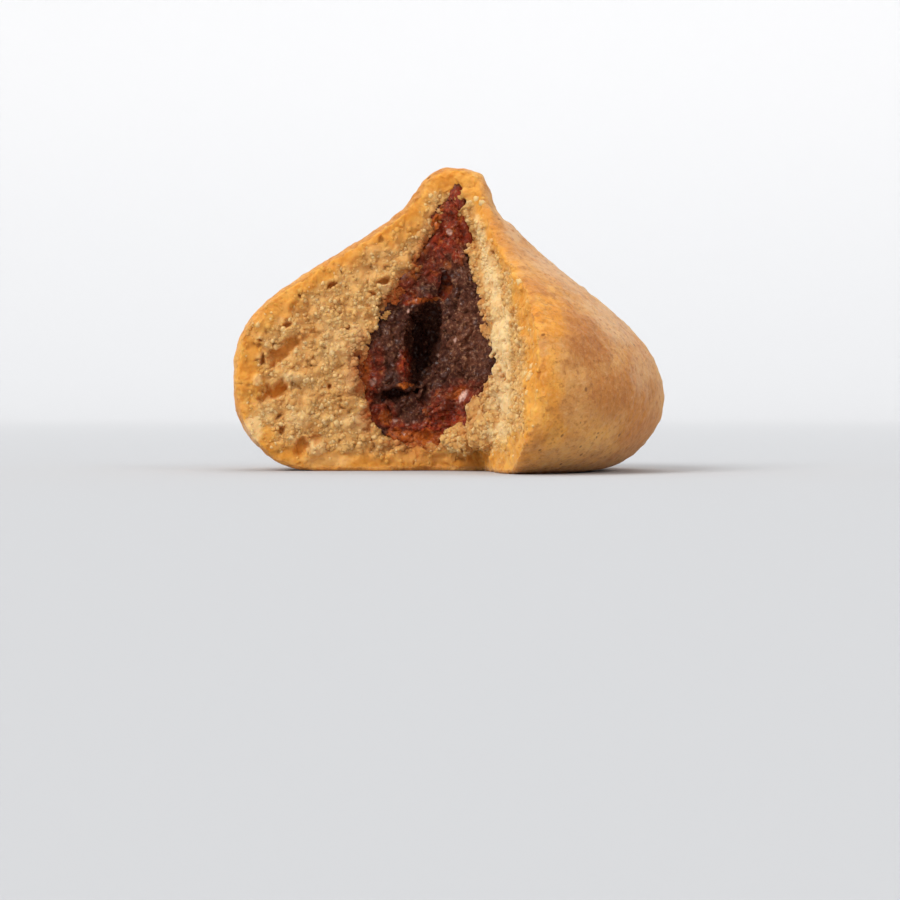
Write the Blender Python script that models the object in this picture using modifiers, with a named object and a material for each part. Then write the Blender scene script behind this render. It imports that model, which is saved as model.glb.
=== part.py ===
"""A pinched, date-filled cookie whose front left part has been broken away.

Metres, +Z up. The origin is the middle of the flat base, under the belly, and the broken side
faces -Y. The pastry is a turned dome with a pinched tip. The date paste is a turned drop that
fills it. Both are cut by uneven walls that meet in a corner near the axis, and a crevice goes
on from that corner into the paste.
"""

import math

import bmesh
import bpy
from mathutils import Matrix, Vector, noise
from mathutils.geometry import interpolate_bezier

MM = 0.001

# Pastry, as radius and height of its turned outline.
COOKIE_HEIGHT = 28.2 * MM
TIP_ROUNDNESS = 1.9 * MM
NECK_RADIUS = 3.6 * MM
NECK_HEIGHT = 25.9 * MM
NECK_SLOPE = math.radians(67)
NECK_REACH_UP = 1.6 * MM
NECK_REACH_DOWN = 6.9 * MM
BELLY_RADIUS = 19.95 * MM
BELLY_HEIGHT = 7.5 * MM
SHOULDER_REACH = 9.3 * MM
FOOT_REACH = 4.5 * MM
BASE_RADIUS = 13.0 * MM
BASE_ROUNDNESS = 3.3 * MM

# Date paste, a drop whose point reaches up into the pinched tip.
PASTE_TOP = 26.7 * MM
PASTE_POINT_REACH = 10.5 * MM
PASTE_POINT_LEAN = 1.6 * MM
PASTE_RADIUS = 8.6 * MM
PASTE_BELLY_HEIGHT = 8.0 * MM
PASTE_SHOULDER_REACH = 6.5 * MM
PASTE_FOOT_REACH = 3.4 * MM
PASTE_BOTTOM = 2.4 * MM
PASTE_BOTTOM_ROUNDNESS = 5.0 * MM
GAP = 0.3 * MM

# The spine bows to -X at the shoulder and leans to +X at the tip: (height, sideways offset).
PASTRY_SPINE = ((6.0 * MM, 0.0), (17.0 * MM, -1.6 * MM), (27.0 * MM, 0.6 * MM))
PASTE_SPINE = ((8.0 * MM, 0.0), (17.0 * MM, -0.6 * MM), (26.0 * MM, 0.8 * MM))
PASTE_FORWARD = 1.2 * MM

# Baked unevenness of the crust.
CRUST_SWELL = 0.3 * MM
CRUST_SWELL_LENGTH = 9.0 * MM
CRUST_SEED = 3.0
FLAT_FOOT = 1.5 * MM

# The broken walls in plan, from the left rim to the corner and out to the right rim. The paste
# tears along its own line: it is sunk on the left, and bulges across the corner on the right.
BREAK_REACH = 26.0 * MM
BREAK_LEFT_END = (-BREAK_REACH, -4.0 * MM)
BREAK_RIGHT_END = (9.5 * MM, -BREAK_REACH)
PASTRY_BREAK = (
    BREAK_LEFT_END,
    (-4.4 * MM, -1.5 * MM),
    (-0.9 * MM, -1.2 * MM),
    (3.0 * MM, -1.9 * MM),
    BREAK_RIGHT_END,
)
PASTE_BREAK = (
    (-BREAK_REACH, -3.5 * MM),
    (-4.4 * MM, -1.1 * MM),
    (-1.4 * MM, -0.9 * MM),
    (4.5 * MM, -7.0 * MM),
    BREAK_RIGHT_END,
)
BREAK_STEP = 1.4 * MM
BREAK_OVERRUN = 1.5 * MM
BREAK_LUMP = 0.45 * MM
BREAK_LUMP_LENGTH = 5.0 * MM
BREAK_CRUMB = 0.2 * MM
BREAK_CRUMB_LENGTH = 2.2 * MM
PASTRY_LUMP_SEED, PASTRY_CRUMB_SEED = 11.0, 18.0
PASTE_LUMP_SEED, PASTE_CRUMB_SEED = 23.0, 30.0
HOLLOW_HEIGHT = 15.0 * MM
HOLLOW_DEPTH = 0.5 * MM
HOLLOW_TO_FOOT = 1.5 * MM

# Hollows torn in the paste: centre, half sizes, and tilt about Y.
CREVICES = {
    "deep_crevice": ((-2.5 * MM, -1.0 * MM, 11.8 * MM), (1.7 * MM, 4.4 * MM, 4.2 * MM), math.radians(12)),
    "upper_notch": ((-0.5 * MM, -1.6 * MM, 16.9 * MM), (0.6 * MM, 1.8 * MM, 1.2 * MM), math.radians(4)),
    "lower_slot": ((-5.0 * MM, -1.9 * MM, 7.1 * MM), (2.5 * MM, 1.7 * MM, 0.65 * MM), math.radians(-4)),
}
CREVICE_ROUGHNESS = 0.25 * MM
CREVICE_ROUGHNESS_LENGTH = 1.6 * MM
CREVICE_SEED = 5.0

# Facets.
TURN_STEPS = 56
PASTE_STEPS = 36
OUTLINE_STEPS = 11
PASTE_OUTLINE_STEPS = 9
CREVICE_SEGMENTS, CREVICE_RINGS = 14, 9
SHARP_EDGE = math.radians(40)


def clear_scene():
    """Removes every object of the scene that the script starts in."""
    for item in list(bpy.data.objects):
        bpy.data.objects.remove(item, do_unlink=True)


def collection_named(name):
    """A new collection linked to the scene."""
    made = bpy.data.collections.new(name)
    bpy.context.scene.collection.children.link(made)
    return made


def material_named(name, colour, roughness):
    """A Principled material of one colour."""
    made = bpy.data.materials.new(name)
    made.use_nodes = True
    shader = made.node_tree.nodes["Principled BSDF"]
    shader.inputs["Base Color"].default_value = (*colour, 1.0)
    shader.inputs["Roughness"].default_value = roughness
    shader.inputs["Metallic"].default_value = 0.0
    return made


def object_from(name, mesh, collection):
    """A new object that shows the mesh, in the collection."""
    made = bpy.data.objects.new(name, mesh)
    collection.objects.link(made)
    return made


def eased(low, high, value):
    """0 at low, 1 at high, and a smooth ramp between them."""
    share = min(max((value - low) / (high - low), 0.0), 1.0)
    return share * share * (3.0 - 2.0 * share)


def spine_offset(spine, height):
    """How far to the side a spine stands at a height."""
    offset = spine[0][1]
    for (low, start), (high, end) in zip(spine, spine[1:]):
        offset += (end - start) * eased(low, high, height)
    return offset


def unevenness(point, amplitude, length, seed):
    """Smooth noise of about this amplitude, whose lumps are about this long."""
    return amplitude * noise.noise(point / length + Vector((seed, seed, seed)))


def bezier_outline(knots, steps):
    """Points along a turned outline.

    knots holds (handle before, knot, handle after), each as (radius, height), from top to bottom.
    """
    points = []
    for (_, start, leaving), (arriving, end, _) in zip(knots, knots[1:]):
        span = interpolate_bezier(*(Vector((r, 0.0, z)) for r, z in (start, leaving, arriving, end)), steps)
        points += span if not points else span[1:]
    return points


def pastry_outline():
    """The outer side of the whole pastry, from the tip to the rim of the flat base."""
    out, down = math.cos(NECK_SLOPE), math.sin(NECK_SLOPE)
    tip = (0.0, COOKIE_HEIGHT)
    neck = (NECK_RADIUS, NECK_HEIGHT)
    belly = (BELLY_RADIUS, BELLY_HEIGHT)
    rim = (BASE_RADIUS, 0.0)
    knots = (
        (tip, tip, (TIP_ROUNDNESS, COOKIE_HEIGHT)),
        (
            (NECK_RADIUS - NECK_REACH_UP * out, NECK_HEIGHT + NECK_REACH_UP * down),
            neck,
            (NECK_RADIUS + NECK_REACH_DOWN * out, NECK_HEIGHT - NECK_REACH_DOWN * down),
        ),
        ((BELLY_RADIUS, BELLY_HEIGHT + SHOULDER_REACH), belly, (BELLY_RADIUS, BELLY_HEIGHT - FOOT_REACH)),
        ((BASE_RADIUS + BASE_ROUNDNESS, 0.0), rim, rim),
    )
    return bezier_outline(knots, OUTLINE_STEPS) + [Vector((0.0, 0.0, 0.0))]


def paste_outline():
    """The outer side of the whole drop of paste, from its point to the middle of its bottom."""
    point = (0.0, PASTE_TOP)
    belly = (PASTE_RADIUS, PASTE_BELLY_HEIGHT)
    bottom = (0.0, PASTE_BOTTOM)
    knots = (
        (point, point, (PASTE_POINT_LEAN, PASTE_TOP - PASTE_POINT_REACH)),
        (
            (PASTE_RADIUS, PASTE_BELLY_HEIGHT + PASTE_SHOULDER_REACH),
            belly,
            (PASTE_RADIUS, PASTE_BELLY_HEIGHT - PASTE_FOOT_REACH),
        ),
        ((PASTE_BOTTOM_ROUNDNESS, PASTE_BOTTOM), bottom, bottom),
    )
    return bezier_outline(knots, PASTE_OUTLINE_STEPS)


def widened(outline, gap):
    """The outline moved outwards by the gap, square to itself, with its ends kept on the axis."""
    moved = []
    for index, point in enumerate(outline):
        before, after = outline[max(index - 1, 0)], outline[min(index + 1, len(outline) - 1)]
        along = (after - before).normalized()
        moved.append(point + gap * Vector((-along.z, 0.0, along.x)))
    moved[0] = outline[0] + Vector((0.0, 0.0, gap))
    moved[-1] = outline[-1] - Vector((0.0, 0.0, gap))
    return moved


def turned(name, outline, steps, collection):
    """A solid turned about Z from an outline that runs down its outer side, as a plain mesh."""
    mesh = bpy.data.meshes.new(name + "_outline")
    edges = [(index, index + 1) for index in range(len(outline) - 1)]
    mesh.from_pydata([tuple(point) for point in outline], edges, [])
    made = object_from(name, mesh, collection)
    screw = made.modifiers.new("turn", "SCREW")
    screw.steps = screw.render_steps = steps
    screw.use_merge_vertices = True
    screw.merge_threshold = 0.01 * MM
    bpy.context.view_layer.update()
    graph = bpy.context.evaluated_depsgraph_get()
    made.data = bpy.data.meshes.new_from_object(made.evaluated_get(graph))
    made.modifiers.clear()
    bpy.data.meshes.remove(mesh)
    return made


def bend_to_spine(solid, spine, forward=0.0):
    """Moves each level of a turned solid sideways to its spine, and all of it forward."""
    for vertex in solid.data.vertices:
        vertex.co.x += spine_offset(spine, vertex.co.z)
        vertex.co.y -= forward


def swell_crust(solid):
    """Gives the crust its baked unevenness, and leaves the base flat."""
    for vertex in solid.data.vertices:
        outwards = Vector((vertex.co.x, vertex.co.y, 0.0))
        if outwards.length < MM:
            continue
        share = eased(0.0, FLAT_FOOT, vertex.co.z) * eased(0.0, BASE_RADIUS, outwards.length)
        swell = unevenness(vertex.co, CRUST_SWELL, CRUST_SWELL_LENGTH, CRUST_SEED)
        vertex.co += outwards.normalized() * (swell * share)


def evenly_spaced(path, step):
    """Plan points about one step apart along a path of straight runs, as (point, normal to the right)."""
    points = []
    for start, end in zip(path, path[1:]):
        start, end = Vector((*start, 0.0)), Vector((*end, 0.0))
        run = end - start
        normal = Vector((-run.y, run.x, 0.0)).normalized()
        count = max(1, round(run.length / step))
        points += [(start + run * (index / count), normal) for index in range(count)]
    points.append((end, normal))
    return points


def hollowed_wall(point, normal):
    """The right-hand wall is hollow at mid height and stands out at its foot. The left one is upright."""
    rightwards = eased(0.0, BREAK_RIGHT_END[0] / 2.0, point.x) * eased(0.0, BREAK_REACH / 2.0, -point.y)
    depth = HOLLOW_DEPTH - HOLLOW_TO_FOOT * ((point.z - HOLLOW_HEIGHT) / HOLLOW_HEIGHT) ** 2
    return normal * (depth * rightwards)


def broken_away(name, break_line, lump_seed, crumb_seed, collection):
    """A closed cutter for the part that is missing. Its inner walls are uneven, as broken dough is.

    break_line is the walls' line in plan. The seeds tell one cutter's lumps from another's.
    """
    path = evenly_spaced(break_line, BREAK_STEP)
    span = COOKIE_HEIGHT + 2.0 * BREAK_OVERRUN
    levels = round(span / BREAK_STEP)
    shape = bmesh.new()
    rows = []
    for level in range(levels + 1):
        height = -BREAK_OVERRUN + span * level / levels
        row = []
        for plan, normal in path:
            point = Vector((plan.x, plan.y, height))
            lump = unevenness(point, BREAK_LUMP, BREAK_LUMP_LENGTH, lump_seed)
            crumb = unevenness(point, BREAK_CRUMB, BREAK_CRUMB_LENGTH, crumb_seed)
            row.append(shape.verts.new(point + hollowed_wall(point, normal) + normal * (lump + crumb)))
        row.append(shape.verts.new((-BREAK_REACH, -BREAK_REACH, height)))
        rows.append(row)
    for lower, upper in zip(rows, rows[1:]):
        for index in range(len(lower)):
            after = (index + 1) % len(lower)
            shape.faces.new((lower[index], lower[after], upper[after], upper[index]))
    shape.faces.new(rows[0])
    shape.faces.new(rows[-1])
    bmesh.ops.recalc_face_normals(shape, faces=shape.faces)
    return cutter_from(name, shape, collection)


def crevice(name, centre, half_sizes, tilt, collection):
    """A closed, rough-walled cutter for one hollow in the paste."""
    shape = bmesh.new()
    bmesh.ops.create_uvsphere(shape, u_segments=CREVICE_SEGMENTS, v_segments=CREVICE_RINGS, radius=1.0)
    stretch = Matrix.Diagonal((*half_sizes, 1.0))
    bmesh.ops.transform(shape, matrix=Matrix.Rotation(tilt, 4, "Y") @ stretch, verts=shape.verts)
    bmesh.ops.translate(shape, vec=centre, verts=shape.verts)
    shape.normal_update()
    for vertex in shape.verts:
        rough = unevenness(vertex.co, CREVICE_ROUGHNESS, CREVICE_ROUGHNESS_LENGTH, CREVICE_SEED)
        vertex.co += vertex.normal * rough
    return cutter_from(name, shape, collection)


def cutter_from(name, shape, collection):
    """An object that cuts others and isn't a part itself."""
    mesh = bpy.data.meshes.new(name)
    shape.to_mesh(mesh)
    shape.free()
    made = object_from(name, mesh, collection)
    hide_cutter(made)
    return made


def hide_cutter(cutter):
    """Marks an object as a helper that a render leaves out."""
    cutter.hide_render = True
    cutter.display_type = "WIRE"


def cut(solid, cutter):
    """Takes the cutter's space out of the solid."""
    boolean = solid.modifiers.new("cut_" + cutter.name, "BOOLEAN")
    boolean.operation = "DIFFERENCE"
    boolean.object = cutter


def make_pastry(parts, cutters):
    """The baked shell with its cavity for the paste, broken open at the front."""
    pastry = turned("pastry", pastry_outline(), TURN_STEPS, parts)
    bend_to_spine(pastry, PASTRY_SPINE)
    swell_crust(pastry)
    cavity = turned("paste_cavity", widened(paste_outline(), GAP), PASTE_STEPS, cutters)
    bend_to_spine(cavity, PASTE_SPINE, PASTE_FORWARD)
    hide_cutter(cavity)
    cut(pastry, cavity)
    missing = broken_away("missing_pastry", PASTRY_BREAK, PASTRY_LUMP_SEED, PASTRY_CRUMB_SEED, cutters)
    cut(pastry, missing)
    return pastry


def make_filling(parts, cutters):
    """The date paste, broken along the same walls and torn open by its crevices."""
    filling = turned("filling", paste_outline(), PASTE_STEPS, parts)
    bend_to_spine(filling, PASTE_SPINE, PASTE_FORWARD)
    missing = broken_away("missing_paste", PASTE_BREAK, PASTE_LUMP_SEED, PASTE_CRUMB_SEED, cutters)
    cut(filling, missing)
    for name, (centre, half_sizes, tilt) in CREVICES.items():
        cut(filling, crevice(name, centre, half_sizes, tilt, cutters))
    return filling


def finish(solid, material):
    """Gives a solid its material and smooth shading with sharp broken edges."""
    solid.data.materials.append(material)
    solid.data.shade_smooth()
    solid.data.set_sharp_from_angle(angle=SHARP_EDGE)


def main():
    """Builds the cookie."""
    clear_scene()
    parts = collection_named("broken_date_cookie")
    cutters = collection_named("cutters")
    finish(make_pastry(parts, cutters), material_named("baked_pastry", (0.68, 0.40, 0.13), 0.6))
    finish(make_filling(parts, cutters), material_named("date_paste", (0.11, 0.035, 0.02), 0.4))


main()
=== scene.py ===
"""Looks of a broken date-filled cookie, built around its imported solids.

The pastry and the date paste are fine meshes made from their solids, with the relief of a broken
crumb, a baked crust and a torn paste. Semolina grains stand out of the crumb. Metres, +Z up, and
the broken side faces -Y.
"""

from __future__ import annotations

import logging
import math
from collections.abc import Sequence
from dataclasses import dataclass, field
from enum import Enum

import bmesh
import bpy
import numpy as np
from mathutils import Matrix, Vector, noise
from mathutils.bvhtree import BVHTree


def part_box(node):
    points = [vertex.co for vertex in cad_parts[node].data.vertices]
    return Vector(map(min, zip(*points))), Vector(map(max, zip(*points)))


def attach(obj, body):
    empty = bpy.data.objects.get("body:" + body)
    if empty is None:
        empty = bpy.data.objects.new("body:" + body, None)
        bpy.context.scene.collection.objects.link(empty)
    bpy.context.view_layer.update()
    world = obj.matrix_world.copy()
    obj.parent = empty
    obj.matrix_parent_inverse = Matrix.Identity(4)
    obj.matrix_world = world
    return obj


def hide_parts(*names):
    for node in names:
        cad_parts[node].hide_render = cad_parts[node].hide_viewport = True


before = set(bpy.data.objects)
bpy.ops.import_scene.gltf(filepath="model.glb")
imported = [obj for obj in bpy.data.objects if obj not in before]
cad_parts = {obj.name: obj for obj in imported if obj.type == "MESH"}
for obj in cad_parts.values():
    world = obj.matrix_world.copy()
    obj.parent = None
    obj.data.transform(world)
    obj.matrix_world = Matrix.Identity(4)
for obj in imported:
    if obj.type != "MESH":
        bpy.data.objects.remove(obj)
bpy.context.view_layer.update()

MM = 0.001
NOISE_GAIN = 1.6  # brings the noise, which stays near 0, to about -1 to 1
OCTAVE_SEED = 13.7  # keeps the sizes of a fractal from lying on top of each other
FRACTAL_SUM = 1.5  # about what the sizes of a fractal add up to
GOLDEN_TURN = 2.4  # radians from one ray of a fan to the next
FAN_SHARE = 0.85  # how much of the view in front of a face a fan of rays fills
RAY_LIFT = 0.03 * MM  # keeps a ray from striking the face that it leaves
LOG = logging.getLogger("cookie")

Colour = tuple[float, float, float]
Points = np.ndarray
Amount = np.ndarray


class Mask(Enum):
    """The names of the values that a mesh carries to its material."""

    CRUMB = "crumb"
    GOLD = "gold"
    # Pale tones of the dough and grains, and painted light: sheen on the crust's upper outline, a paler
    # bottom strip and low crust in shade, glints on the paste.
    PALE_AND_PAINTED_LIGHT = "pale"
    BROWNED = "browned"
    TORN = "torn"
    # Painted shade in the crumb's gaps between grains and in its holes.
    GAP_SHADE = "gap"
    TINT = "tint"
    RED = "red"
    ORANGE = "orange"
    # Grey-brown on the torn paste: partly its own tone, partly painted sheen.
    GREY_TONE_AND_SHEEN = "grey_tone_and_sheen"
    SHADE = "shade"


# ---------------------------------------------------------------------------------------------
# Small helpers for numbers and meshes
# ---------------------------------------------------------------------------------------------


def tone(code: str) -> Colour:
    """Turns six hex digits, a colour as seen on a screen, into linear light."""
    shares = [int(code[start : start + 2], 16) / 255.0 for start in (0, 2, 4)]
    return tuple(s / 12.92 if s <= 0.04045 else ((s + 0.055) / 1.055) ** 2.4 for s in shares)


def eased(low: float, high: float, value: Amount) -> Amount:
    """Gives 0 at low, 1 at high, and a smooth ramp between them.

    Args:
        low: The value where the ramp starts.
        high: The value where the ramp ends.
        value: One number for each point.

    Returns:
        The eased share for each point.
    """
    share = np.clip((value - low) / (high - low), 0.0, 1.0)
    return share * share * (3.0 - 2.0 * share)


def lumps(points: Points, length: float, seed: float) -> Amount:
    """Gives smooth noise from about -1 to 1.

    Args:
        points: Places in metres, one row each.
        length: About how wide a lump is, in metres.
        seed: Tells one pattern from another.

    Returns:
        The noise at each point.
    """
    rows = (points / length + seed).tolist()
    return np.fromiter((noise.noise(row) for row in rows), float, len(rows)) * NOISE_GAIN


def fractal(points: Points, length: float, seed: float, octaves: int = 3) -> Amount:
    """Gives noise with finer and finer lumps on top of each other.

    Args:
        points: Places in metres, one row each.
        length: About how wide the largest lump is, in metres.
        seed: Tells one pattern from another.
        octaves: How many sizes of lumps there are, each half as large as the last.

    Returns:
        The noise at each point, from about -1 to 1.
    """
    total = np.zeros(len(points))
    for octave in range(octaves):
        total += lumps(points, length / 2.0**octave, seed + OCTAVE_SEED * octave) * 0.5**octave
    return total / FRACTAL_SUM


def creases(points: Points, length: float, seed: float) -> Amount:
    """Gives a net of sharp valleys, from 0 between them to 1 at their bottom."""
    return (1.0 - np.minimum(np.abs(fractal(points, length, seed, 2)) * 2.2, 1.0)) ** 2


def cells(points: Points, length: float, seed: float) -> tuple[Amount, Amount]:
    """Measures the grains that a packed heap of them would have at these points.

    Args:
        points: Places in metres, one row each.
        length: About how wide a grain is, in metres.
        seed: Tells one heap from another.

    Returns:
        How far each point is from its grain's middle, and how deep it is inside the grain's edge,
        both as shares of the grain's width.
    """
    rows = (points / length + seed).tolist()
    near = np.array([noise.voronoi(row)[0][:2] for row in rows]).reshape(-1, 2)
    return near[:, 0], near[:, 1] - near[:, 0]


def bent(points: Points, length: float, reach: float, seed: float) -> Points:
    """Moves points about smoothly, so that a pattern read there isn't regular.

    Args:
        points: Places in metres, one row each.
        length: About how wide the bends are, in metres.
        reach: How far the points move, in metres.
        seed: Tells one pattern from another.

    Returns:
        The moved points.
    """
    shift = [fractal(points, length, seed + 11.0 * axis) for axis in range(3)]
    return points + reach * np.stack(shift, axis=1)


def positions(mesh: bpy.types.Mesh) -> Points:
    """Reads a mesh's points, one row each."""
    flat = np.empty(len(mesh.vertices) * 3)
    mesh.vertices.foreach_get("co", flat)
    return flat.reshape(-1, 3)


def normals(mesh: bpy.types.Mesh) -> Points:
    """Reads the outward direction at each of a mesh's points."""
    flat = np.empty(len(mesh.vertices) * 3)
    mesh.vertex_normals.foreach_get("vector", flat)
    return flat.reshape(-1, 3)


def unit(rows: Points) -> Points:
    """Makes each row one unit long."""
    return rows / np.maximum(np.linalg.norm(rows, axis=1, keepdims=True), 1e-9)


def move_to(mesh: bpy.types.Mesh, places: Points) -> None:
    """Puts a mesh's points at new places, one row for each point, in metres."""
    mesh.vertices.foreach_set("co", places.ravel())
    mesh.update()


def store(mesh: bpy.types.Mesh, values: dict[Mask, Amount]) -> None:
    """Keeps values of each point on the mesh, for its material.

    Args:
        mesh: The mesh that carries the values.
        values: One number for each point, by name.
    """
    for mask, amount in values.items():
        layer = mesh.attributes.new(mask.value, "FLOAT", "POINT")
        layer.data.foreach_set("value", amount.astype(np.float32))


def stored(mesh: bpy.types.Mesh, mask: Mask) -> Amount:
    """Reads a value back that each point of a mesh carries."""
    amount = np.empty(len(mesh.vertices), dtype=np.float32)
    mesh.attributes[mask.value].data.foreach_get("value", amount)
    return amount


def relaxed(mesh: bpy.types.Mesh, amount: Amount, rounds: int) -> Amount:
    """Spreads a value over a mesh's neighbouring points.

    Args:
        mesh: The mesh whose edges say which points are neighbours.
        amount: One number, or one row, for each point.
        rounds: How often each point takes the mean of itself and its neighbours.

    Returns:
        The spread value.
    """
    ends = np.empty(len(mesh.edges) * 2, dtype=np.int64)
    mesh.edges.foreach_get("vertices", ends)
    first, second = ends.reshape(-1, 2).T
    table = amount.reshape(len(amount), -1).astype(float)
    count = np.bincount(ends, minlength=len(table))[:, None] + 1.0
    for _ in range(rounds):
        total = table.copy()
        for column in range(table.shape[1]):
            total[:, column] += np.bincount(first, table[second, column], len(table))
            total[:, column] += np.bincount(second, table[first, column], len(table))
        table = total / count
    return table.reshape(amount.shape)


def object_from(name: str, data: bpy.types.ID) -> bpy.types.Object:
    """Puts a mesh, a lamp or a camera in the scene under a name."""
    made = bpy.data.objects.new(name, data)
    bpy.context.scene.collection.objects.link(made)
    return made


def opened(mesh: bpy.types.Mesh) -> bmesh.types.BMesh:
    """Makes a mesh's shape ready for changes."""
    shape = bmesh.new()
    shape.from_mesh(mesh)
    return shape


def put_back(shape: bmesh.types.BMesh, mesh: bpy.types.Mesh) -> bpy.types.Mesh:
    """Writes a changed shape into a mesh, and lets go of the shape."""
    shape.to_mesh(mesh)
    shape.free()
    return mesh


def mesh_from(name: str, shape: bmesh.types.BMesh) -> bpy.types.Mesh:
    """Turns a finished shape into a mesh."""
    return put_back(shape, bpy.data.meshes.new(name))


def applied(piece: bpy.types.Object) -> None:
    """Makes an object's modifiers part of its mesh."""
    bpy.context.view_layer.update()
    graph = bpy.context.evaluated_depsgraph_get()
    made = bpy.data.meshes.new_from_object(piece.evaluated_get(graph))
    made.name = piece.name
    piece.modifiers.clear()
    piece.data = made


def evened(piece: bpy.types.Object, cell: float, smoothing: int) -> None:
    """Remakes a piece as a mesh of even, small squares, joining what overlaps.

    Args:
        piece: The piece.
        cell: The width of a square, in metres.
        smoothing: How many rounds of smoothing take the steps off.
    """
    remesh = piece.modifiers.new("even", "REMESH")
    remesh.mode = "VOXEL"
    remesh.voxel_size = cell
    smooth = piece.modifiers.new("smooth", "SMOOTH")
    smooth.iterations = smoothing
    applied(piece)


def refined(piece: bpy.types.Object, chosen: Amount, cuts: int) -> None:
    """Splits the squares around the chosen points into smaller ones.

    Args:
        piece: The piece whose mesh is split.
        chosen: True for each point that needs a finer mesh.
        cuts: How often each edge is cut.
    """
    shape = opened(piece.data)
    shape.verts.ensure_lookup_table()
    edges = [e for e in shape.edges if chosen[e.verts[0].index] and chosen[e.verts[1].index]]
    bmesh.ops.subdivide_edges(shape, edges=edges, cuts=cuts, use_grid_fill=True)
    put_back(shape, piece.data)


class Surface:
    """A skin, for asking how far away it is and what it hides."""

    def __init__(self, corners: list[Vector], faces: list[Sequence[int]]) -> None:
        """Makes the skin searchable.

        Args:
            corners: The skin's corners.
            faces: Its faces, as numbers of corners.
        """
        self.tree = BVHTree.FromPolygons(corners, faces)

    @classmethod
    def of(cls, mesh: bpy.types.Mesh) -> Surface:
        """Makes a whole mesh searchable."""
        return cls([v.co.copy() for v in mesh.vertices], [tuple(p.vertices) for p in mesh.polygons])

    def distances(self, points: Points) -> Amount:
        """Measures how far each point is from the skin, in metres."""
        return np.fromiter((self.tree.find_nearest(p)[3] for p in points.tolist()), float, len(points))

    def directions(self, points: Points) -> Points:
        """Gives the unit direction from each point to the skin's nearest place."""
        nearest = np.array([self.tree.find_nearest(p)[0][:] for p in points.tolist()])
        return unit(nearest - points)

    def hidden(self, points: Points, outwards: Points, reach: float, rays: int) -> Amount:
        """Measures how much of the view out of each point is blocked.

        Args:
            points: Places in metres, one row each.
            outwards: The direction out of the surface at each.
            reach: How far away something still blocks, in metres.
            rays: How many ways are tried.

        Returns:
            0 where the view is open and 1 where all of it is blocked.
        """
        up = Vector((0.0, 0.0, 1.0))
        spiral = [
            (math.acos(1.0 - FAN_SHARE * (step + 0.5) / rays), GOLDEN_TURN * step)
            for step in range(rays)
        ]
        fan = [
            Vector((math.sin(lean) * math.cos(turn), math.sin(lean) * math.sin(turn), math.cos(lean)))
            for lean, turn in spiral
        ]
        blocked = np.zeros(len(points))
        for index, (place, outward) in enumerate(zip(points.tolist(), outwards.tolist())):
            turned = up.rotation_difference(Vector(outward))
            start = Vector(place) + Vector(outward) * RAY_LIFT
            hits = [self.tree.ray_cast(start, turned @ ray, reach)[0] is not None for ray in fan]
            blocked[index] = sum(hits) / rays
        return blocked


@dataclass(frozen=True)
class Skins:
    """The pastry solid's skin, told apart into its baked outside and the rest."""

    crust: Surface
    inner: Surface

    @classmethod
    def of(cls, node: str, bend: float = math.radians(35)) -> Skins:
        """Walks over a solid's skin from its back, and stops at its sharp edges.

        Args:
            node: The solid's name in the frame.
            bend: How sharply two faces meet where the baked outside ends, in radians.

        Returns:
            The baked outside, and the broken walls with the cavity.
        """
        shape = opened(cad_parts[node].data)
        bmesh.ops.remove_doubles(shape, verts=shape.verts, dist=0.001 * MM)
        start = max(shape.faces, key=lambda f: f.calc_center_median().y)
        found = {start}
        waiting = [start]
        while waiting:
            face = waiting.pop()
            for edge in face.edges:
                if len(edge.link_faces) != 2 or edge.calc_face_angle() > bend:
                    continue
                for other in edge.link_faces:
                    if other not in found:
                        found.add(other)
                        waiting.append(other)
        corners = [v.co.copy() for v in shape.verts]
        crust = [[v.index for v in f.verts] for f in shape.faces if f in found]
        inner = [[v.index for v in f.verts] for f in shape.faces if f not in found]
        shape.free()
        LOG.info("skins of %s: %d faces of crust, %d inside", node, len(crust), len(inner))
        return cls(Surface(corners, crust), Surface(corners, inner))


# ---------------------------------------------------------------------------------------------
# Places on the cookie
# ---------------------------------------------------------------------------------------------


@dataclass(frozen=True)
class Viewpoint:
    """Where a viewer in front of the broken side stands, in millimetres and degrees."""

    distance: float = 198.0
    elevation: float = 1.0
    look_height: float = 1.9

    @property
    def target(self) -> Vector:
        """The place that the viewer looks at, in metres."""
        return Vector((0.0, 0.0, self.look_height)) * MM

    @property
    def back(self) -> Vector:
        """The unit direction from that place to the viewer."""
        rise = math.radians(self.elevation)
        return Vector((0.0, -math.cos(rise), math.sin(rise)))

    @property
    def place(self) -> Vector:
        """Where the viewer's eye is, in metres."""
        return self.target + self.back * self.distance * MM

    def flattened(self, points: Points) -> Points:
        """Moves points along their lines of sight to the upright plane through the axis."""
        eye = np.array(self.place)
        return eye + (points - eye) * (eye[1] / (eye[1] - points[:, 1]))[:, None]


@dataclass(frozen=True)
class Form:
    """The cookie's size, and places given as shares of it, as the viewer sees them."""

    low: Vector
    high: Vector
    viewpoint: Viewpoint = field(default_factory=Viewpoint)

    @property
    def height(self) -> float:
        """The cookie's height, in metres."""
        return self.high.z - self.low.z

    def above(self, points: Points, low: float, high: float) -> Amount:
        """Gives 0 below one share of the height, 1 above another, and a smooth ramp between."""
        return eased(low, high, points[:, 2] / self.height)

    def tip(self, points: Points) -> Amount:
        """Gives 1 on the pinched tip and 0 below it."""
        return self.above(points, 0.72, 0.88)

    def seen(self, across: float, up: float) -> Vector:
        """Turns shares of the half width and of the height into a place on the upright plane."""
        return Vector((across * (self.high.x - self.low.x) / 2.0, 0.0, up * self.height))

    def struck(self, place: Vector, face: Surface) -> Vector:
        """Finds where the viewer's look towards a place meets a skin, in metres."""
        eye = self.viewpoint.place
        return face.tree.ray_cast(eye, (place - eye).normalized())[0]


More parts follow.
